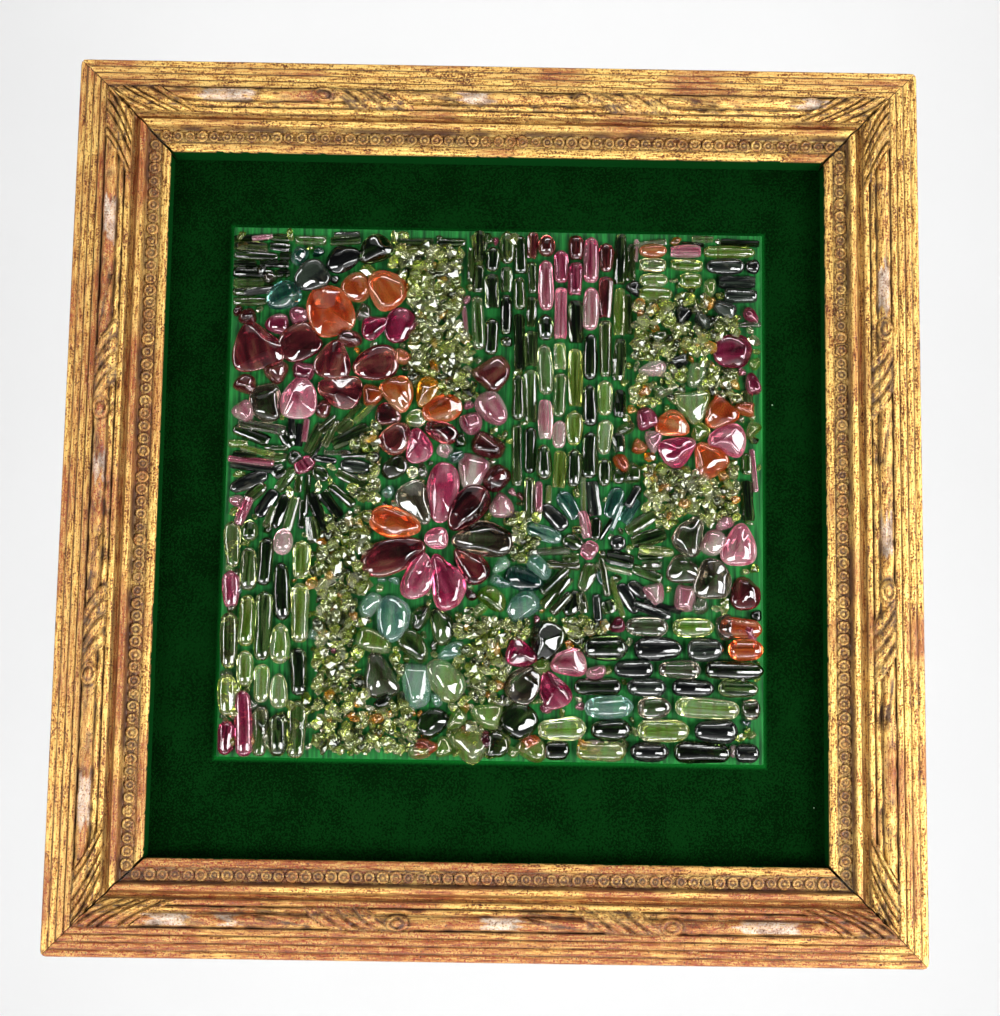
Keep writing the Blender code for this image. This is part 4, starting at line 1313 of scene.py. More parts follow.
@dataclass(frozen=True)
class Crystal:
    """Polished tourmaline or quartz of one colour: clear enough to see into, with zones and veils inside.

    The eye gets a glassy skin with crisp lights, a body colour that shifts from stone to stone, and cloudy
    streaks along each stone.
    """

    tint: Tint
    shades: Tints
    clearness: float
    roughness: float = 0.04
    light_bend: float = 1.62
    veil: str = "#DCD8B8"
    veils: float = 0.14

    def material(self) -> Material:
        """Build the stone's colour from the shade drawn for each stone and the zones in it.

        Returns:
            The material.
        """
        material, add, shader = new_material(f"polished_{self.tint.value}_tourmaline")
        shade = add("ShaderNodeAttribute", attribute_name="shade", output="Fac")
        edge = add("ShaderNodeAttribute", attribute_name="edge", output="Fac")
        grain = add("ShaderNodeAttribute", attribute_name="grain", output="Vector")
        # Colour zones along the crystal: bands 1.1 mm wide and 22 mm long
        stretch = (scale_of(22), scale_of(1.1), scale_of(1.1))
        drawn = add("ShaderNodeMapping", {"Vector": grain, "Scale": stretch})
        zone = add("ShaderNodeTexNoise", {"Vector": drawn, "Scale": 1.0, "Detail": 3.0})
        mixed = add("ShaderNodeMath", {0: zone, 1: 4.5, 2: shade}, operation="MULTIPLY_ADD")
        # The stone is thin at its rim and lets more light through there
        thinned = add("ShaderNodeMath", {0: edge, 1: 0.6, 2: mixed}, operation="MULTIPLY_ADD")
        spread = add("ShaderNodeMapRange", {"Value": thinned, 1: 1.85, 2: 3.75})
        stops = tuple((k / (len(self.shades) - 1), code) for k, code in enumerate(self.shades))
        body = add("ShaderNodeValToRGB", {"Fac": spread}, stops)
        # Veils and healed cracks: pale wisps 8 mm long, 2.5 mm apart to the sides and 3.5 mm in depth
        wisp = add("ShaderNodeMapping", {"Vector": grain, "Scale": (scale_of(8), scale_of(2.5), scale_of(3.5))})
        cloud = add("ShaderNodeTexNoise", {"Vector": wisp, "Scale": 1.0, "Detail": 5.0, "Distortion": 1.2})
        share = add("ShaderNodeMapRange", {"Value": cloud, 1: 0.56, 2: 0.72, 3: 0.0, 4: self.veils})
        colour = add("ShaderNodeMix", {0: share, 6: body, 7: srgb(self.veil)}, data_type="RGBA", output=2)
        # Striations along the crystal: ridges 0.7 mm apart that run 25 mm
        stretch = (scale_of(25), scale_of(0.7), scale_of(0.7))
        comb = add("ShaderNodeMapping", {"Vector": grain, "Scale": stretch})
        ridge = add("ShaderNodeTexNoise", {"Vector": comb, "Scale": 1.0, "Detail": 1.0})
        skin = add("ShaderNodeMath", {0: ridge, 1: 0.8, 2: cloud}, operation="MULTIPLY_ADD")
        bump = add("ShaderNodeBump", {"Height": skin, "Strength": 0.22, "Distance": 0.0003})
        feed(shader, {"Base Color": colour, "Roughness": self.roughness, "IOR": self.light_bend,
                      "Transmission Weight": self.clearness, "Normal": bump})
        return material


CRYSTALS = (
    Crystal(Tint.CLEAR, ("#667A20", "#A8BC48", "#D2DC80", "#F2F4D2"), 0.93),
    Crystal(Tint.ORANGE, ("#7A2410", "#C4461E", "#E0692E", "#F0A070"), 0.84),
    Crystal(Tint.AMBER, ("#8A4A10", "#C98218", "#E8A830", "#F0CC60"), 0.88),
    Crystal(Tint.MAROON, ("#24080B", "#561620", "#8E2C38", "#BC7460"), 0.89, veil="#C89080"),
    Crystal(Tint.RASPBERRY, ("#560A24", "#981E48", "#C8446E", "#EA9CAC"), 0.86, veil="#ECC0C8"),
    Crystal(Tint.PINK, ("#9A2E4C", "#CC6682", "#E8A0AE", "#F4D8D4"), 0.84),
    Crystal(Tint.SMOKY, ("#2C2016", "#665440", "#A0987E", "#D4D0BC"), 0.95, veils=0.1),
    Crystal(Tint.DARK_GREEN, ("#050A05", "#13200D", "#3A5226", "#98AC68"), 0.93, veil="#A8B888", veils=0.1),
    Crystal(Tint.TEAL, ("#0E2A2E", "#285C5A", "#5E9A8C", "#B0D4C8"), 0.9),
    Crystal(Tint.BLACK, ("#030304", "#08090A", "#121614", "#2A322A"), 0.4, veils=0.04),
    Crystal(Tint.OLIVE, ("#18200A", "#4C5A26", "#98A65C", "#E0E2B4"), 0.95, veils=0.1),
    Crystal(Tint.AQUA, ("#5E9E94", "#8EC0B4", "#B8DACE", "#E0EEE6"), 0.9),
)
# Slot names for stones too small to be pieces of the part, handed on to dress, which does not use them
SHARED_SLOTS = {"olive": "clear", "aqua": "teal"}


@dataclass(frozen=True)
class Velvet:
    """Cotton velvet glued to the backing board: bottle green, nearly black where the pile stands straight."""

    deep: str = "#021203"
    bright: str = "#042107"
    # Painted glow round the plate
    glow: str = "#0A5A1C"
    lint: str = "#8FAE8C"
    sheen: str = "#107A20"

    def material(self) -> Material:
        """Build the velvet with brushed patches and lint.

        Returns:
            The material.
        """
        material, add, shader = new_material("bottle_green_velvet")
        place = add("ShaderNodeTexCoord", output="Object")
        # Pile brushed this way and that: soft patches of 18 mm
        patch = add("ShaderNodeTexNoise", {"Vector": place, "Scale": scale_of(18), "Detail": 2.0})
        # Tufts: 0.9 mm, as fine as the render shows
        tuft = add("ShaderNodeTexNoise", {"Vector": place, "Scale": scale_of(0.9), "Detail": 1.0})
        soft = add("ShaderNodeMath", {0: patch, 1: 0.5}, operation="MULTIPLY")
        mixed = add("ShaderNodeMath", {0: tuft, 1: 0.9, 2: soft}, operation="MULTIPLY_ADD")
        pile = add("ShaderNodeValToRGB", {"Fac": mixed}, ((0.60, self.deep), (0.78, self.bright)))
        # Painted glow: the pile is lighter green in a band of 2.8 mm round the plate, as if light came through
        # the plate's edge
        offset = add("ShaderNodeVectorMath", {0: place, 1: (PLATE_X, 0.0, PLATE_Z)}, operation="SUBTRACT")
        away = add("ShaderNodeVectorMath", {0: offset}, operation="ABSOLUTE")
        past = add("ShaderNodeVectorMath", {0: away, 1: (PLATE_WIDTH / 2, 1.0, PLATE_HEIGHT / 2)},
                   operation="SUBTRACT")
        right = add("ShaderNodeSeparateXYZ", {0: past}, output="X")
        up = add("ShaderNodeSeparateXYZ", {0: past}, output="Z")
        gap = add("ShaderNodeMath", {0: right, 1: up}, operation="MAXIMUM")
        shine = add("ShaderNodeMapRange", {"Value": gap, 1: 0.0028, 2: 0.0, 3: 0.0, 4: 0.55},
                    interpolation_type="SMOOTHERSTEP")
        glow = add("ShaderNodeMix", {0: shine, 6: pile, 7: srgb(self.glow)}, data_type="RGBA", output=2)
        # Lint: single pale specks of half a millimetre, some 22 mm apart
        speck = add("ShaderNodeTexVoronoi", {"Vector": place, "Scale": scale_of(22)}, output="Distance")
        share = add("ShaderNodeMapRange", {"Value": speck, 1: 0.022, 2: 0.012, 3: 0.0, 4: 0.6})
        colour = add("ShaderNodeMix", {0: share, 6: glow, 7: srgb(self.lint)}, data_type="RGBA", output=2)
        bump = add("ShaderNodeBump", {"Height": mixed, "Strength": 0.8, "Distance": 0.0006})
        feed(shader, {"Base Color": colour, "Roughness": 1.0, "Specular IOR Level": 0.0, "Sheen Weight": 0.03,
                      "Sheen Roughness": 0.45, "Sheen Tint": srgb(self.sheen), "Normal": bump})
        return material


@dataclass(frozen=True)
class BackingBoard:
    """Grey-brown pasteboard behind the velvet, matt and a little mottled."""

    pale: str = "#9A8E76"
    dark: str = "#84785F"

    def material(self) -> Material:
        """Build the board.

        Returns:
            The material.
        """
        material, add, shader = new_material("grey_pasteboard")
        place = add("ShaderNodeTexCoord", output="Object")
        # Fibres and specks: mottling of 2 mm with finer grain in it
        mottle = add("ShaderNodeTexNoise", {"Vector": place, "Scale": scale_of(2), "Detail": 6.0})
        colour = add("ShaderNodeValToRGB", {"Fac": mottle}, ((0.35, self.dark), (0.65, self.pale)))
        bump = add("ShaderNodeBump", {"Height": mottle, "Strength": 0.3, "Distance": 0.0003})
        feed(shader, {"Base Color": colour, "Roughness": 0.9, "Normal": bump})
        return material


@dataclass(frozen=True)
class PaintedPlate:
    """The plate under the stones: leaf green brushed on in upright strokes, nearly matt."""

    deep: str = "#043212"
    bright: str = "#18682A"

    def material(self) -> Material:
        """Build the plate's paint.

        Returns:
            The material.
        """
        material, add, shader = new_material("brushed_green_paint")
        place = add("ShaderNodeTexCoord", output="Object")
        # Brush strokes: 1.6 mm wide and 25 mm long, upright
        stretch = (scale_of(1.6), scale_of(1.6), scale_of(25))
        drawn = add("ShaderNodeMapping", {"Vector": place, "Scale": stretch})
        stroke = add("ShaderNodeTexNoise", {"Vector": drawn, "Scale": 1.0, "Detail": 3.0})
        colour = add("ShaderNodeValToRGB", {"Fac": stroke}, ((0.35, self.deep), (0.68, self.bright)))
        bump = add("ShaderNodeBump", {"Height": stroke, "Strength": 0.4, "Distance": 0.0002})
        feed(shader, {"Base Color": colour, "Roughness": 0.75, "Specular IOR Level": 0.15, "Normal": bump})
        return material


@dataclass
class Shape:
    """A stone's body to be copied: points from -1 to 1 and the faces between them."""

    points: np.ndarray
    faces: list[tuple[int, ...]]
    smooth: bool


@dataclass
class Ground:
    """What of the picture is covered so far, in square cells over its side, for laying the last stones."""

    cells: int = 1000

    def __post_init__(self) -> None:
        """Start with a bare plate."""
        self.covered = np.zeros((self.cells, self.cells), bool)

    def window(self, stone: Stone) -> tuple[slice, slice, np.ndarray] | None:
        """Find the cells under a stone.

        Args:
            stone: the stone.

        Returns:
            The rows, the columns and which of their cells lie under the stone; None past the edge.
        """
        reach = math.hypot(stone.length, stone.width) / 2
        low_x, high_x = (stone.x - reach + 0.5) * self.cells, (stone.x + reach + 0.5) * self.cells
        low_y, high_y = (stone.y - reach + 0.5) * self.cells, (stone.y + reach + 0.5) * self.cells
        columns = slice(max(0, int(low_x)), min(self.cells, int(high_x) + 1))
        rows = slice(max(0, int(low_y)), min(self.cells, int(high_y) + 1))
        if any(max(abs(x), abs(y)) > 0.5 - EDGE_SHARE for x, y in stone.footprint()):
            return None
        x = (np.arange(columns.start, columns.stop) + 0.5) / self.cells - 0.5 - stone.x
        y = (np.arange(rows.start, rows.stop) + 0.5) / self.cells - 0.5 - stone.y
        x, y = np.meshgrid(x, y)
        ct, st = math.cos(stone.turn), math.sin(stone.turn)
        ahead, aside = (x * ct + y * st) / (stone.length / 2), (y * ct - x * st) / (stone.width / 2)
        if stone.form in (Form.ROD, Form.BAR):
            return rows, columns, (np.abs(ahead) < 1) & (np.abs(aside) < 1)
        return rows, columns, np.abs(ahead) ** 2.2 + np.abs(aside) ** 2.2 < 1

    def fits(self, stone: Stone, most: float) -> bool:
        """Cover a stone's cells unless too many of them are covered already.

        Args:
            stone: the stone.
            most: the share of its cells that may be covered already.

        Returns:
            True when its cells were covered now.
        """
        found = self.window(stone)
        if found is None or not found[2].any():
            return False
        rows, columns, under = found
        if self.covered[rows, columns][under].mean() > most:
            return False
        self.covered[rows, columns] |= under
        return True


@dataclass
class StonePicture:
    """The picture: green plate, large stones one by one, and rods, pebbles and chips by colour."""

    rod_end: float = 0.7
    chip_fields: tuple[Quad, ...] = (
        (0.30, 0.03, 0.43, 0.20), (0.34, 0.20, 0.45, 0.33), (0.23, 0.38, 0.28, 0.52), (0.18, 0.55, 0.27, 0.78),
        (0.18, 0.78, 0.36, 1.00), (0.42, 0.74, 0.57, 0.95), (0.64, 0.74, 0.71, 0.80), (0.51, 0.55, 0.58, 0.63),
        (0.76, 0.12, 0.95, 0.33), (0.78, 0.45, 0.95, 0.56),
    )
    burst_fields: tuple[Quad, ...] = (
        (0.02, 0.33, 0.26, 0.56), (0.57, 0.50, 0.82, 0.72),
    )
    accents: Tints = ("clear", "amber", "orange", "pink", "raspberry", "teal", "smoky", "dark_green",
                                "aqua", "olive")
    thin_rod_tints: Tints = ("dark_green", "olive", "olive", "clear", "black", "pink", "smoky")
    chip_tints: Tints = ("clear",) * 14 + ("olive",) * 5 + ("amber",)
    largest_filler: float = 0.0062
    lone_reach: float = 0.12
    lone_length: float = 0.03
    rod_reach: float = 0.09
    plate_softening: float = 0.0006

    def __post_init__(self) -> None:
        """Lay the stones."""
        self.draw = random.Random(LAYOUT_SEED + 1)
        self.mosaic = Mosaic()
        lay_flowers(self.mosaic)
        lay_pebbles(self.mosaic)
        lay_rods(self.mosaic)
        self.ground = Ground()

    def shape(self, name: str, facets: int, segments: int, rings: int) -> Shape:
        """Model a tumbled pebble: a ball whose sides are ground to soft facets.

        Args:
            name: the shape's name.
            facets: how many facets are ground into it.
            segments: faces round it.
            rings: faces from pole to pole.

        Returns:
            The body to be copied.
        """
        bpy.ops.object.select_all(action="DESELECT")
        bpy.ops.mesh.primitive_uv_sphere_add(segments=segments, ring_count=rings, radius=1.0)
        ball = start_piece(name)
        points = get_points(ball)
        for k in range(facets):
            tilt = self.draw.uniform(0.15, 1.35)
            turn = math.tau * (k * 0.382 + self.draw.uniform(-0.05, 0.05))
            face = np.array((math.sin(tilt) * math.cos(turn), math.sin(tilt) * math.sin(turn), math.cos(tilt)))
            over = points @ face - self.draw.uniform(0.62, 0.88)
            points -= np.outer(np.clip(over, 0, None) * 0.95, face)
        set_points(ball, points)
        tumbled = ball.modifiers.new("tumbled", "SMOOTH")
        tumbled.iterations = segments // 6
        bpy.ops.object.modifier_apply(modifier="tumbled")
        points = get_points(ball)
        points[:, :2] /= np.abs(points[:, :2]).max(axis=0)
        points[:, 2] /= points[:, 2].max()
        set_points(ball, points)
        return self.take(ball, smooth=True)

    def chip_shape(self, number: int) -> Shape:
        """Model a chip: an icosphere cut flat by a few planes, and every other one worn smooth.

        Args:
            number: the shape's number.

        Returns:
            The body to be copied.
        """
        bpy.ops.object.select_all(action="DESELECT")
        bpy.ops.mesh.primitive_ico_sphere_add(subdivisions=1 + number % 2, radius=1.0)
        chip = start_piece(f"chip_{number}")
        points = get_points(chip)
        for _ in range(9):
            face = np.array([self.draw.gauss(0, 1) for _ in range(3)])
            face /= np.linalg.norm(face)
            over = points @ face - self.draw.uniform(0.5, 0.85)
            points -= np.outer(np.clip(over, 0, None), face)
        set_points(chip, points / np.abs(points).max(axis=0))
        return self.take(chip, smooth=number % 2 == 1)

    def rod_shape(self, number: int) -> Shape:
        """Model a crystal rod: a prism with ridges of uneven height along it and blunt ends.

        Args:
            number: the shape's number.

        Returns:
            The body to be copied.
        """
        bpy.ops.object.select_all(action="DESELECT")
        bpy.ops.mesh.primitive_uv_sphere_add(segments=10, ring_count=6, radius=1.0)
        rod = start_piece(f"rod_{number}")
        points = get_points(rod)
        height = points[:, 2]
        turn = np.arctan2(points[:, 1], points[:, 0])
        ridge = np.round((turn + math.pi) / math.tau * 10).astype(int) % 10
        swell = np.array([self.draw.uniform(0.8, 1.12) for _ in range(10)])[ridge]
        ahead = np.interp(np.abs(height), (0, 0.5, 0.87, 1.0), (0, 0.5, 0.95, 1.0)) * np.sign(height)
        radius = np.interp(np.abs(height), (0, 0.5, 0.87, 1.0), (1.0, 1.0, 0.8, 0.0)) * swell
        set_points(rod, np.column_stack((ahead, radius * np.cos(turn), radius * np.sin(turn))))
        return self.take(rod, smooth=number % 3 == 0)

    def bar_shape(self, number: int) -> Shape:
        """Model a tumbled bar: a long pillow with soft edges and slightly uneven sides.

        Args:
            number: the shape's number.

        Returns:
            The body to be copied.
        """
        bpy.ops.object.select_all(action="DESELECT")
        bpy.ops.mesh.primitive_cube_add(size=2.0)
        bar = start_piece(f"bar_{number}")
        bpy.ops.object.mode_set(mode="EDIT")
        bpy.ops.mesh.select_all(action="SELECT")
        bpy.ops.mesh.bevel(offset=0.94, segments=5, profile=0.5)
        bpy.ops.object.mode_set(mode="OBJECT")
        points = get_points(bar)
        for _ in range(4):
            turn = self.draw.uniform(0.15, math.pi - 0.15)
            face = np.array((self.draw.uniform(-0.25, 0.25), math.cos(turn), math.sin(turn)))
            face /= np.linalg.norm(face)
            over = points[:, 1:] @ face[1:] - self.draw.uniform(0.82, 1.0)
            points[:, 1:] -= np.outer(np.clip(over, 0, None) * 0.7, face[1:])
        set_points(bar, points)
        return self.take(bar, smooth=True)

    def take(self, piece: Object, smooth: bool) -> Shape:
        """Keep a modelled piece's points and faces as a shape, and remove the piece.

        Args:
            piece: the piece.
            smooth: whether light runs smoothly over its faces.

        Returns:
            The shape.
        """
        faces = [tuple(face.vertices) for face in piece.data.polygons]
        shape = Shape(get_points(piece), faces, smooth)
        bpy.data.objects.remove(piece)
        return shape

    def stretch_rod(self, unit: np.ndarray, stone: Stone) -> Arrays:
        """Stretch a rod's middle to its length while its ends keep their form, and bend it a little.

        Args:
            unit: the shape's points.
            stone: the rod or bar.

        Returns:
            How far ahead, aside and up each point lies.
        """
        half_length, half_width = stone.length / 2, stone.width / 2
        end = min(self.rod_end * half_width, half_length * 0.45)
        inner = np.abs(unit[:, 0]) < 0.5
        outer = np.sign(unit[:, 0]) * (half_length - end + (np.abs(unit[:, 0]) - 0.5) / 0.5 * end)
        ahead = np.where(inner, unit[:, 0] / 0.5 * (half_length - end), outer)
        skew = 0.35 * math.sin(stone.x * 977 + stone.y * 613)
        ahead = ahead - np.clip(np.abs(unit[:, 0]) - 0.4, 0, 1) * np.abs(unit[:, 1] * skew) * half_width
        wander = np.sin(ahead / half_length * 2.6 + stone.x * 91)
        bulge = 1 + 0.06 * wander + 0.04 * np.sin(ahead / half_width * 1.3 + stone.y * 57)
        aside = unit[:, 1] * half_width * bulge * np.where(unit[:, 2] > 0, 1 - 0.2 * unit[:, 2], 1)
        up = (unit[:, 2] + 1) / 2 * stone.height * (1 + 0.08 * wander)
        return ahead, aside, up

    def stretch_pebble(self, unit: np.ndarray, stone: Stone) -> Arrays:
        """Give a pebble the tapered, squared and wavy outline of its stone.

        Args:
            unit: the shape's points.
            stone: the pebble.

        Returns:
            How far ahead, aside and up each point lies.
        """
        share = np.hypot(unit[:, 0], unit[:, 1])
        angle = np.arctan2(unit[:, 1], unit[:, 0])
        cosine, sine = np.cos(angle), np.sin(angle)
        ahead = np.sign(cosine) * np.abs(cosine) ** stone.square
        aside = np.sign(sine) * np.abs(sine) ** stone.square * (1 + stone.taper * ahead)
        swell = share * (1 - stone.wave * (1 + np.cos(3 * angle + stone.phase)) / 2)
        ahead, aside = ahead * (stone.length / 2) * swell, aside * (stone.width / 2) * swell
        belly = 0.36 * stone.height
        up = np.where(unit[:, 2] > 0, belly + (stone.height - belly) * unit[:, 2], belly * (1 + unit[:, 2]))
        return ahead, aside, up

    def place(self, shape: Shape, stone: Stone) -> Arrays:
        """Give a shape a stone's size and place.

        Args:
            shape: the body to copy.
            stone: the stone that it becomes.

        Returns:
            The points in the room, where they lie in the stone's grain, and how near its rim they are.
        """
        unit = shape.points
        if stone.form in (Form.ROD, Form.BAR):
            ahead, aside, up = self.stretch_rod(unit, stone)
        elif stone.form == Form.CHIP:
            ahead, aside = unit[:, 0] * (stone.length / 2), unit[:, 1] * (stone.width / 2)
            up = (unit[:, 2] + 1) / 2 * stone.height
        else:
            ahead, aside, up = self.stretch_pebble(unit, stone)
        ct, st = math.cos(stone.turn), math.sin(stone.turn)
        x = stone.x + ahead * ct - aside * st
        y = stone.y + ahead * st + aside * ct
        level = PLATE_TOP_LEVEL + stone.lift + up
        room = np.column_stack((PLATE_X + x * PLATE_WIDTH, -level, PLATE_Z + y * PLATE_HEIGHT))
        edge = np.clip(np.hypot(unit[:, 0], unit[:, 1]), 0, 1) ** 3
        # The zones are as fine as the material says in rods, and wider in the other stones
        fine = {Form.ROD: 1.0, Form.BAR: 0.8}.get(stone.form, 0.22)
        return room, np.column_stack((ahead * PLATE_WIDTH, aside * PLATE_WIDTH * fine, up * fine)), edge

    def swell_stones(self) -> None:
        """Let the stones of the plan grow until they touch, each a little differently."""
        for stone in self.mosaic.stones:
            if stone.form == Form.ROD:
                stone.length *= self.draw.uniform(1.0, 1.08)
                stone.width *= self.draw.uniform(1.12, 1.28)
                stone.height *= self.draw.uniform(0.9, 1.3)
                stone.turn += self.draw.gauss(0, 0.035)
                if abs(math.sin(2 * stone.turn)) > 0.25:
                    stone.width *= self.draw.uniform(1.2, 1.5)
                    stone.length *= self.draw.uniform(1.0, 1.25)
                if self.draw.random() < (stone.width - 0.022) / 0.012:
                    stone.form = Form.BAR
            else:
                stone.length *= self.draw.uniform(1.12, 1.24)
                stone.width *= self.draw.uniform(1.14, 1.28)
                stone.height *= self.draw.uniform(0.85, 1.25)
            if stone.name:
                stone.lift = 0.0003
            self.ground.fits(stone, 1.0)

    def near_tint(self, x: float, y: float, among: list[Stone], others: Tints) -> str:
        """Choose a tint like that of the stones near a place, or now and then another one.

        Args:
            x: the place to the right.
            y: the place up.
            among: the stones to look at.
            others: the tints for a change.

        Returns:
            The tint.
        """
        if self.draw.random() < 0.3:
            return self.draw.choice(others)
        near = sorted(among, key=lambda stone: math.hypot(stone.x - x, stone.y - y))[:3]
        return self.draw.choice(near).tint

    def fill(self, tries: int, most: float, make: Callable[[float, float], Stone | None],
             fields: tuple[Quad, ...] = ((0.0, 0.0, 1.0, 1.0),)) -> None:
        """Try to lay stones at random places.

        Args:
            tries: how many places to try.
            most: how much of a stone's footprint may lie on other stones.
            make: makes the stone for a place, or None for no stone.
            fields: the fields to lay them in, as shares from the left and from the top.
        """
        for _ in range(tries):
            left, top, right, bottom = self.draw.choice(fields)
            stone = make(*spot(self.draw.uniform(left, right), self.draw.uniform(top, bottom)))
            if stone is not None and self.ground.fits(stone, most):
                self.mosaic.stones.append(stone)

    def lay_last_stones(self) -> None:
        """Lay middling pebbles, thin rods, small pebbles and chips in the gaps that are left."""
        draw = self.draw
        rods = [s for s in self.mosaic.stones if s.form == Form.ROD]
        pebbles = [s for s in self.mosaic.stones if s.form == Form.PEBBLE]

        def pebble(x: float, y: float, low: float, high: float) -> Stone | None:
            """Make a pebble for a place, but a large one only among other pebbles.

            Args:
                x: the place to the right.
                y: the place up.
                low: its least length.
                high: its greatest length.

            Returns:
                The pebble, or None where it may not lie.
            """
            length = draw.uniform(low, high)
            gap = min(math.hypot(s.x - x, s.y - y) for s in pebbles)
            if gap > self.lone_reach and length > self.lone_length:
                return None
            width = length * draw.uniform(0.6, 0.9)
            height = min(self.largest_filler, length * PLATE_WIDTH * 0.6)
            return Stone("", Form.PEBBLE, x, y, length, width, height, draw.uniform(0, math.tau),
                         self.near_tint(x, y, pebbles, self.accents), taper=draw.uniform(-0.35, 0.35),
                         square=draw.uniform(0.75, 1.0), wave=draw.uniform(0.05, 0.2),
                         phase=draw.uniform(0, math.tau))

        def thin_rod(x: float, y: float) -> Stone | None:
            """Make a thin rod that lies like the rods near it.

            Args:
                x: the place to the right.
                y: the place up.

            Returns:
                The rod, or None where no rod is near.
            """
            near = min(rods, key=lambda rod: math.hypot(rod.x - x, rod.y - y))
            if math.hypot(near.x - x, near.y - y) > self.rod_reach:
                return None
            width = draw.uniform(0.011, 0.022)
            return Stone("", Form.ROD, x, y, draw.uniform(0.035, 0.09), width, width * PLATE_WIDTH * 0.95,
                         near.turn + draw.gauss(0, 0.08), draw.choice((near.tint, *self.thin_rod_tints)))

        def chip(x: float, y: float, lift: float = -0.0004) -> Stone:
            """Make a chip.

            Args:
                x: the place to the right.
                y: the place up.
                lift: how far it lies above the plate.

            Returns:
                The chip.
            """
            length = draw.uniform(0.013, 0.029)
            width = length * draw.uniform(0.5, 1.0)
            height = length * PLATE_WIDTH * draw.uniform(0.5, 0.9)
            return Stone("", Form.CHIP, x, y, length, width, height, draw.uniform(0, math.tau),
                         draw.choice(self.chip_tints), lift=lift)

        def high_chip(x: float, y: float) -> Stone:
            """Make a chip that lies on others."""
            return chip(x, y, draw.uniform(0.0008, 0.0024))

        self.fill(4200, 0.50, chip, self.chip_fields)
        self.fill(3600, 0.22, lambda x, y: pebble(x, y, 0.034, 0.058))
        self.fill(2600, 0.42, thin_rod, self.burst_fields)
        self.fill(4200, 0.30, thin_rod)
        self.fill(2600, 0.24, lambda x, y: pebble(x, y, 0.018, 0.036))
        self.fill(5000, 0.35, chip)
        # Two more layers of chips on the chips, for which only the larger stones are in the way
        for _ in range(2):
            self.ground.covered[:] = False
            for stone in self.mosaic.stones:
                if stone.form != Form.CHIP:
                    self.ground.fits(stone, 1.0)
            self.fill(2600, 0.40, high_chip, self.chip_fields)

    def stamp(self, name: str, copies: list[tuple[Shape, Stone]], material: Material, slot: str) -> Object:
        """Join copies of shapes into one piece, each with its own place, grain and shade.

        Args:
            name: the piece's name.
            copies: the shape and the stone of each copy.
            material: the stones' material.
            slot: the slot's name, handed on to dress.

        Returns:
            The piece.
        """
        points, grains, shades, edges, faces, smooths = [], [], [], [], [], []
        count = 0
        for shape, stone in copies:
            room, grain, edge = self.place(shape, stone)
            points.append(room)
            edges.append(edge)
            grains.append(grain + np.array([self.draw.uniform(0, 3) for _ in range(3)]))
            shades.append(np.full(len(room), self.draw.random()))
            faces += [tuple(v + count for v in face) for face in shape.faces]
            smooths += [shape.smooth] * len(shape.faces)
            count += len(room)
        mesh = bpy.data.meshes.new(name)
        mesh.from_pydata(np.concatenate(points).tolist(), [], faces)
        piece = bpy.data.objects.new(name, mesh)
        bpy.context.scene.collection.objects.link(piece)
        mesh.polygons.foreach_set("use_smooth", smooths)
        tag_points(piece, "grain", np.concatenate(grains))
        tag_points(piece, "shade", np.concatenate(shades))
        tag_points(piece, "edge", np.concatenate(edges))
        bpy.ops.object.select_all(action="DESELECT")
        bpy.context.view_layer.objects.active = piece
        piece.select_set(True)
        face_outward()
        dress(piece, slot, material)
        return piece

    def build_plate(self) -> None:
        """Model the plate with its softened edges."""
        bpy.ops.object.select_all(action="DESELECT")
        bpy.ops.mesh.primitive_cube_add(size=1.0)
        plate = start_piece("green_plate_body")
        points = get_points(plate)
        points *= np.array((PLATE_WIDTH, PLATE_TOP_LEVEL - PLATE_BACK_LEVEL, PLATE_HEIGHT))
        set_points(plate, points + np.array((PLATE_X, -(PLATE_TOP_LEVEL + PLATE_BACK_LEVEL) / 2, PLATE_Z)))
        bevel = plate.modifiers.new("softened_edges", "BEVEL")
        bevel.width = self.plate_softening
        bevel.segments = 3
        bpy.ops.object.modifier_apply(modifier="softened_edges")
        bpy.ops.object.shade_smooth_by_angle(angle=math.radians(40))
        dress(plate, "green_plate", PaintedPlate().material())
        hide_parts("mosaic_plate")

    def build(self) -> None:
        """Build the plate and every stone on it."""
        self.build_plate()
        self.swell_stones()
        self.lay_last_stones()
        large = [self.shape(f"large_pebble_{k}", 8, 40, 20) for k in range(10)]
        small = [self.shape(f"small_pebble_{k}", 8, 20, 10) for k in range(8)]
        rods = [self.rod_shape(k) for k in range(9)]
        bars = [self.bar_shape(k) for k in range(6)]
        chips = [self.chip_shape(k) for k in range(8)]
        materials = {c.tint.value: c.material() for c in CRYSTALS}
        groups: dict[tuple[str, Form], list[tuple[Shape, Stone]]] = {}
        for stone in self.mosaic.stones:
            if stone.name:
                piece = self.stamp(f"tumbled_{stone.name}", [(self.draw.choice(large), stone)],
                                   materials[stone.tint], stone.tint)
                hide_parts(stone.name)
                continue
            shapes = {Form.ROD: rods, Form.BAR: bars, Form.PEBBLE: small, Form.CHIP: chips}[stone.form]
            groups.setdefault((stone.tint, stone.form), []).append((self.draw.choice(shapes), stone))
        for (tint, form), copies in sorted(groups.items()):
            self.stamp(f"{tint}_{form.value}s", copies, materials[tint], SHARED_SLOTS.get(tint, tint))


@dataclass
class VelvetBoard:
    """The backing board with its velvet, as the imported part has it, in its own finish."""

    node: Object

    def build(self) -> None:
        """Put velvet on the front and bare pasteboard on the back and the edges."""
        self.node.data.materials.clear()
        self.node.data.materials.append(Velvet().material())
        self.node.data.materials.append(BackingBoard().material())
        for face in self.node.data.polygons:
            face.material_index = 0 if face.normal.y < -0.5 else 1


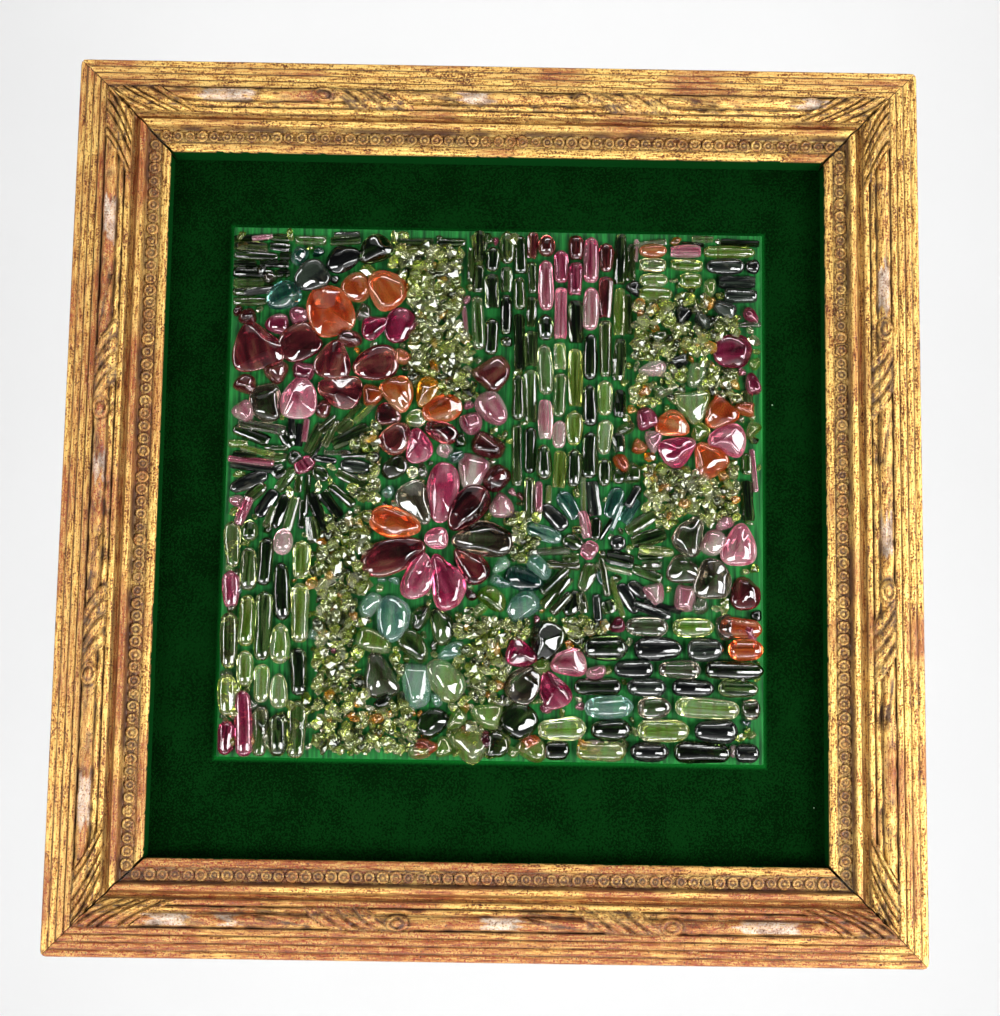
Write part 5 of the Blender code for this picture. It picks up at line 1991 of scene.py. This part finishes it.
@dataclass(frozen=True)
class Lamp:
    """A white lamp with a flat box on it: its place, the point it faces, the box's sides and its watts."""

    name: str
    place: Triple
    aim: Triple
    size: Pair
    power: float

    def build(self) -> None:
        """Set up the lamp."""
        light = bpy.data.lights.new(self.name, "AREA")
        light.shape = "RECTANGLE"
        light.size, light.size_y = self.size
        light.energy = self.power
        holder = bpy.data.objects.new(self.name, light)
        holder.location = self.place
        holder.rotation_euler = (Vector(self.aim) - Vector(self.place)).to_track_quat("-Z", "Y").to_euler()
        bpy.context.scene.collection.objects.link(holder)


PANEL_MIDDLE = (0.0, 0.0, -0.19)


@dataclass
class Studio:
    """Pale floor and backdrop, soft lamps in front and round the panel, two on the backdrop, and the camera."""

    camera_place: Triple = (-0.0021, -0.9323, -0.3216)
    camera_turn: Triple = (-8.1, 0.35, -0.93)
    lens: float = 70.87
    view_depth: float = 50.0
    sheet_side: float = 12.0
    floor_level: float = -1.3
    wall_distance: float = 3.0
    paper: tuple[str, str] = ("#EEEEEE", "#F4F4F4")
    room_light: str = "#8C8C8C"
    room_strength: float = 0.2
    lamps: tuple[Lamp, ...] = (
        Lamp("low_right", (0.80, -1.05, -0.66), PANEL_MIDDLE, (0.70, 0.48), 25),
        Lamp("low_left", (-0.70, -1.05, -0.76), PANEL_MIDDLE, (0.50, 0.38), 14),
        Lamp("broad_top", (0.0, -1.1, 1.1), PANEL_MIDDLE, (1.8, 0.9), 3),
        Lamp("thin_top", (0.15, -0.60, 0.90), PANEL_MIDDLE, (1.2, 0.12), 7),
        Lamp("side_right", (1.10, -0.45, -0.15), PANEL_MIDDLE, (0.28, 1.2), 16),
        Lamp("side_left", (-1.10, -0.45, -0.15), PANEL_MIDDLE, (0.18, 1.0), 8),
        Lamp("side_below", (0.0, -0.42, -1.25), PANEL_MIDDLE, (1.2, 0.14), 7),
        Lamp("backdrop_high", (0.35, 1.2, 2.2), (0.35, 3.0, -0.2), (4.4, 1.0), 46.5),
        Lamp("backdrop_low", (0.3, 1.3, -1.15), (0.3, 3.0, 0.9), (4.4, 0.5), 20),
    )

    def build_sheet(self, name: str, place: Triple, tilt: float) -> None:
        """Model a pale sheet of paper for the floor or the backdrop.

        Args:
            name: the sheet's name.
            place: its middle.
            tilt: how far it is tilted up from lying flat, in radians.
        """
        bpy.ops.object.select_all(action="DESELECT")
        bpy.ops.mesh.primitive_plane_add(size=self.sheet_side, location=place, rotation=(tilt, 0, 0))
        sheet = start_piece(name)
        material, add, shader = new_material(f"{name}_paper")
        where = add("ShaderNodeTexCoord", output="Object")
        # Paper: mottling of half a metre that hardly shows
        mottle = add("ShaderNodeTexNoise", {"Vector": where, "Scale": scale_of(500)})
        colour = add("ShaderNodeValToRGB", {"Fac": mottle}, ((0.0, self.paper[0]), (1.0, self.paper[1])))
        feed(shader, {"Base Color": colour, "Roughness": 0.9})
        sheet.data.materials.append(material)

    def build_camera(self) -> None:
        """Set up the camera at the photograph's place and angle."""
        lens = bpy.data.cameras.new("front_camera")
        lens.lens = self.lens
        lens.clip_end = self.view_depth
        camera = bpy.data.objects.new("front_camera", lens)
        bpy.context.scene.collection.objects.link(camera)
        pitch, yaw, roll = (math.radians(v) for v in self.camera_turn)
        turned = Matrix.Rotation(roll, 3, "Z") @ Matrix.Rotation(yaw, 3, "Y") @ Matrix.Rotation(pitch, 3, "X")
        upright = Matrix(((1, 0, 0), (0, 0, -1), (0, 1, 0)))
        camera.matrix_world = Matrix.Translation(self.camera_place) @ (upright @ turned.transposed()).to_4x4()
        bpy.context.scene.camera = camera

    def build(self) -> None:
        """Build the sheets, the lamps and the camera, and choose how the picture is toned."""
        scene = bpy.context.scene
        self.build_sheet("pale_floor", (0, 0, self.floor_level), 0)
        self.build_sheet("pale_backdrop", (0, self.wall_distance, 0), math.radians(90))
        for lamp in self.lamps:
            lamp.build()
        world = bpy.data.worlds.new("dim_room")
        scene.world = world
        world.use_nodes = True
        glow = {"Color": srgb(self.room_light), "Strength": self.room_strength}
        feed(world.node_tree.nodes["Background"], glow)
        scene.view_settings.view_transform = "Standard"
        self.build_camera()


def main() -> None:
    """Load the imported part, dress it and set up the studio."""
    logging.basicConfig(level=logging.INFO, format="%(message)s")
    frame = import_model()
    bpy.ops.object.select_all(action="DESELECT")
    GiltFrame().build()
    VelvetBoard(frame["nodes"]["velvet_board"]).build()
    StonePicture().build()
    Studio().build()


if __name__ == "__main__":
    main()
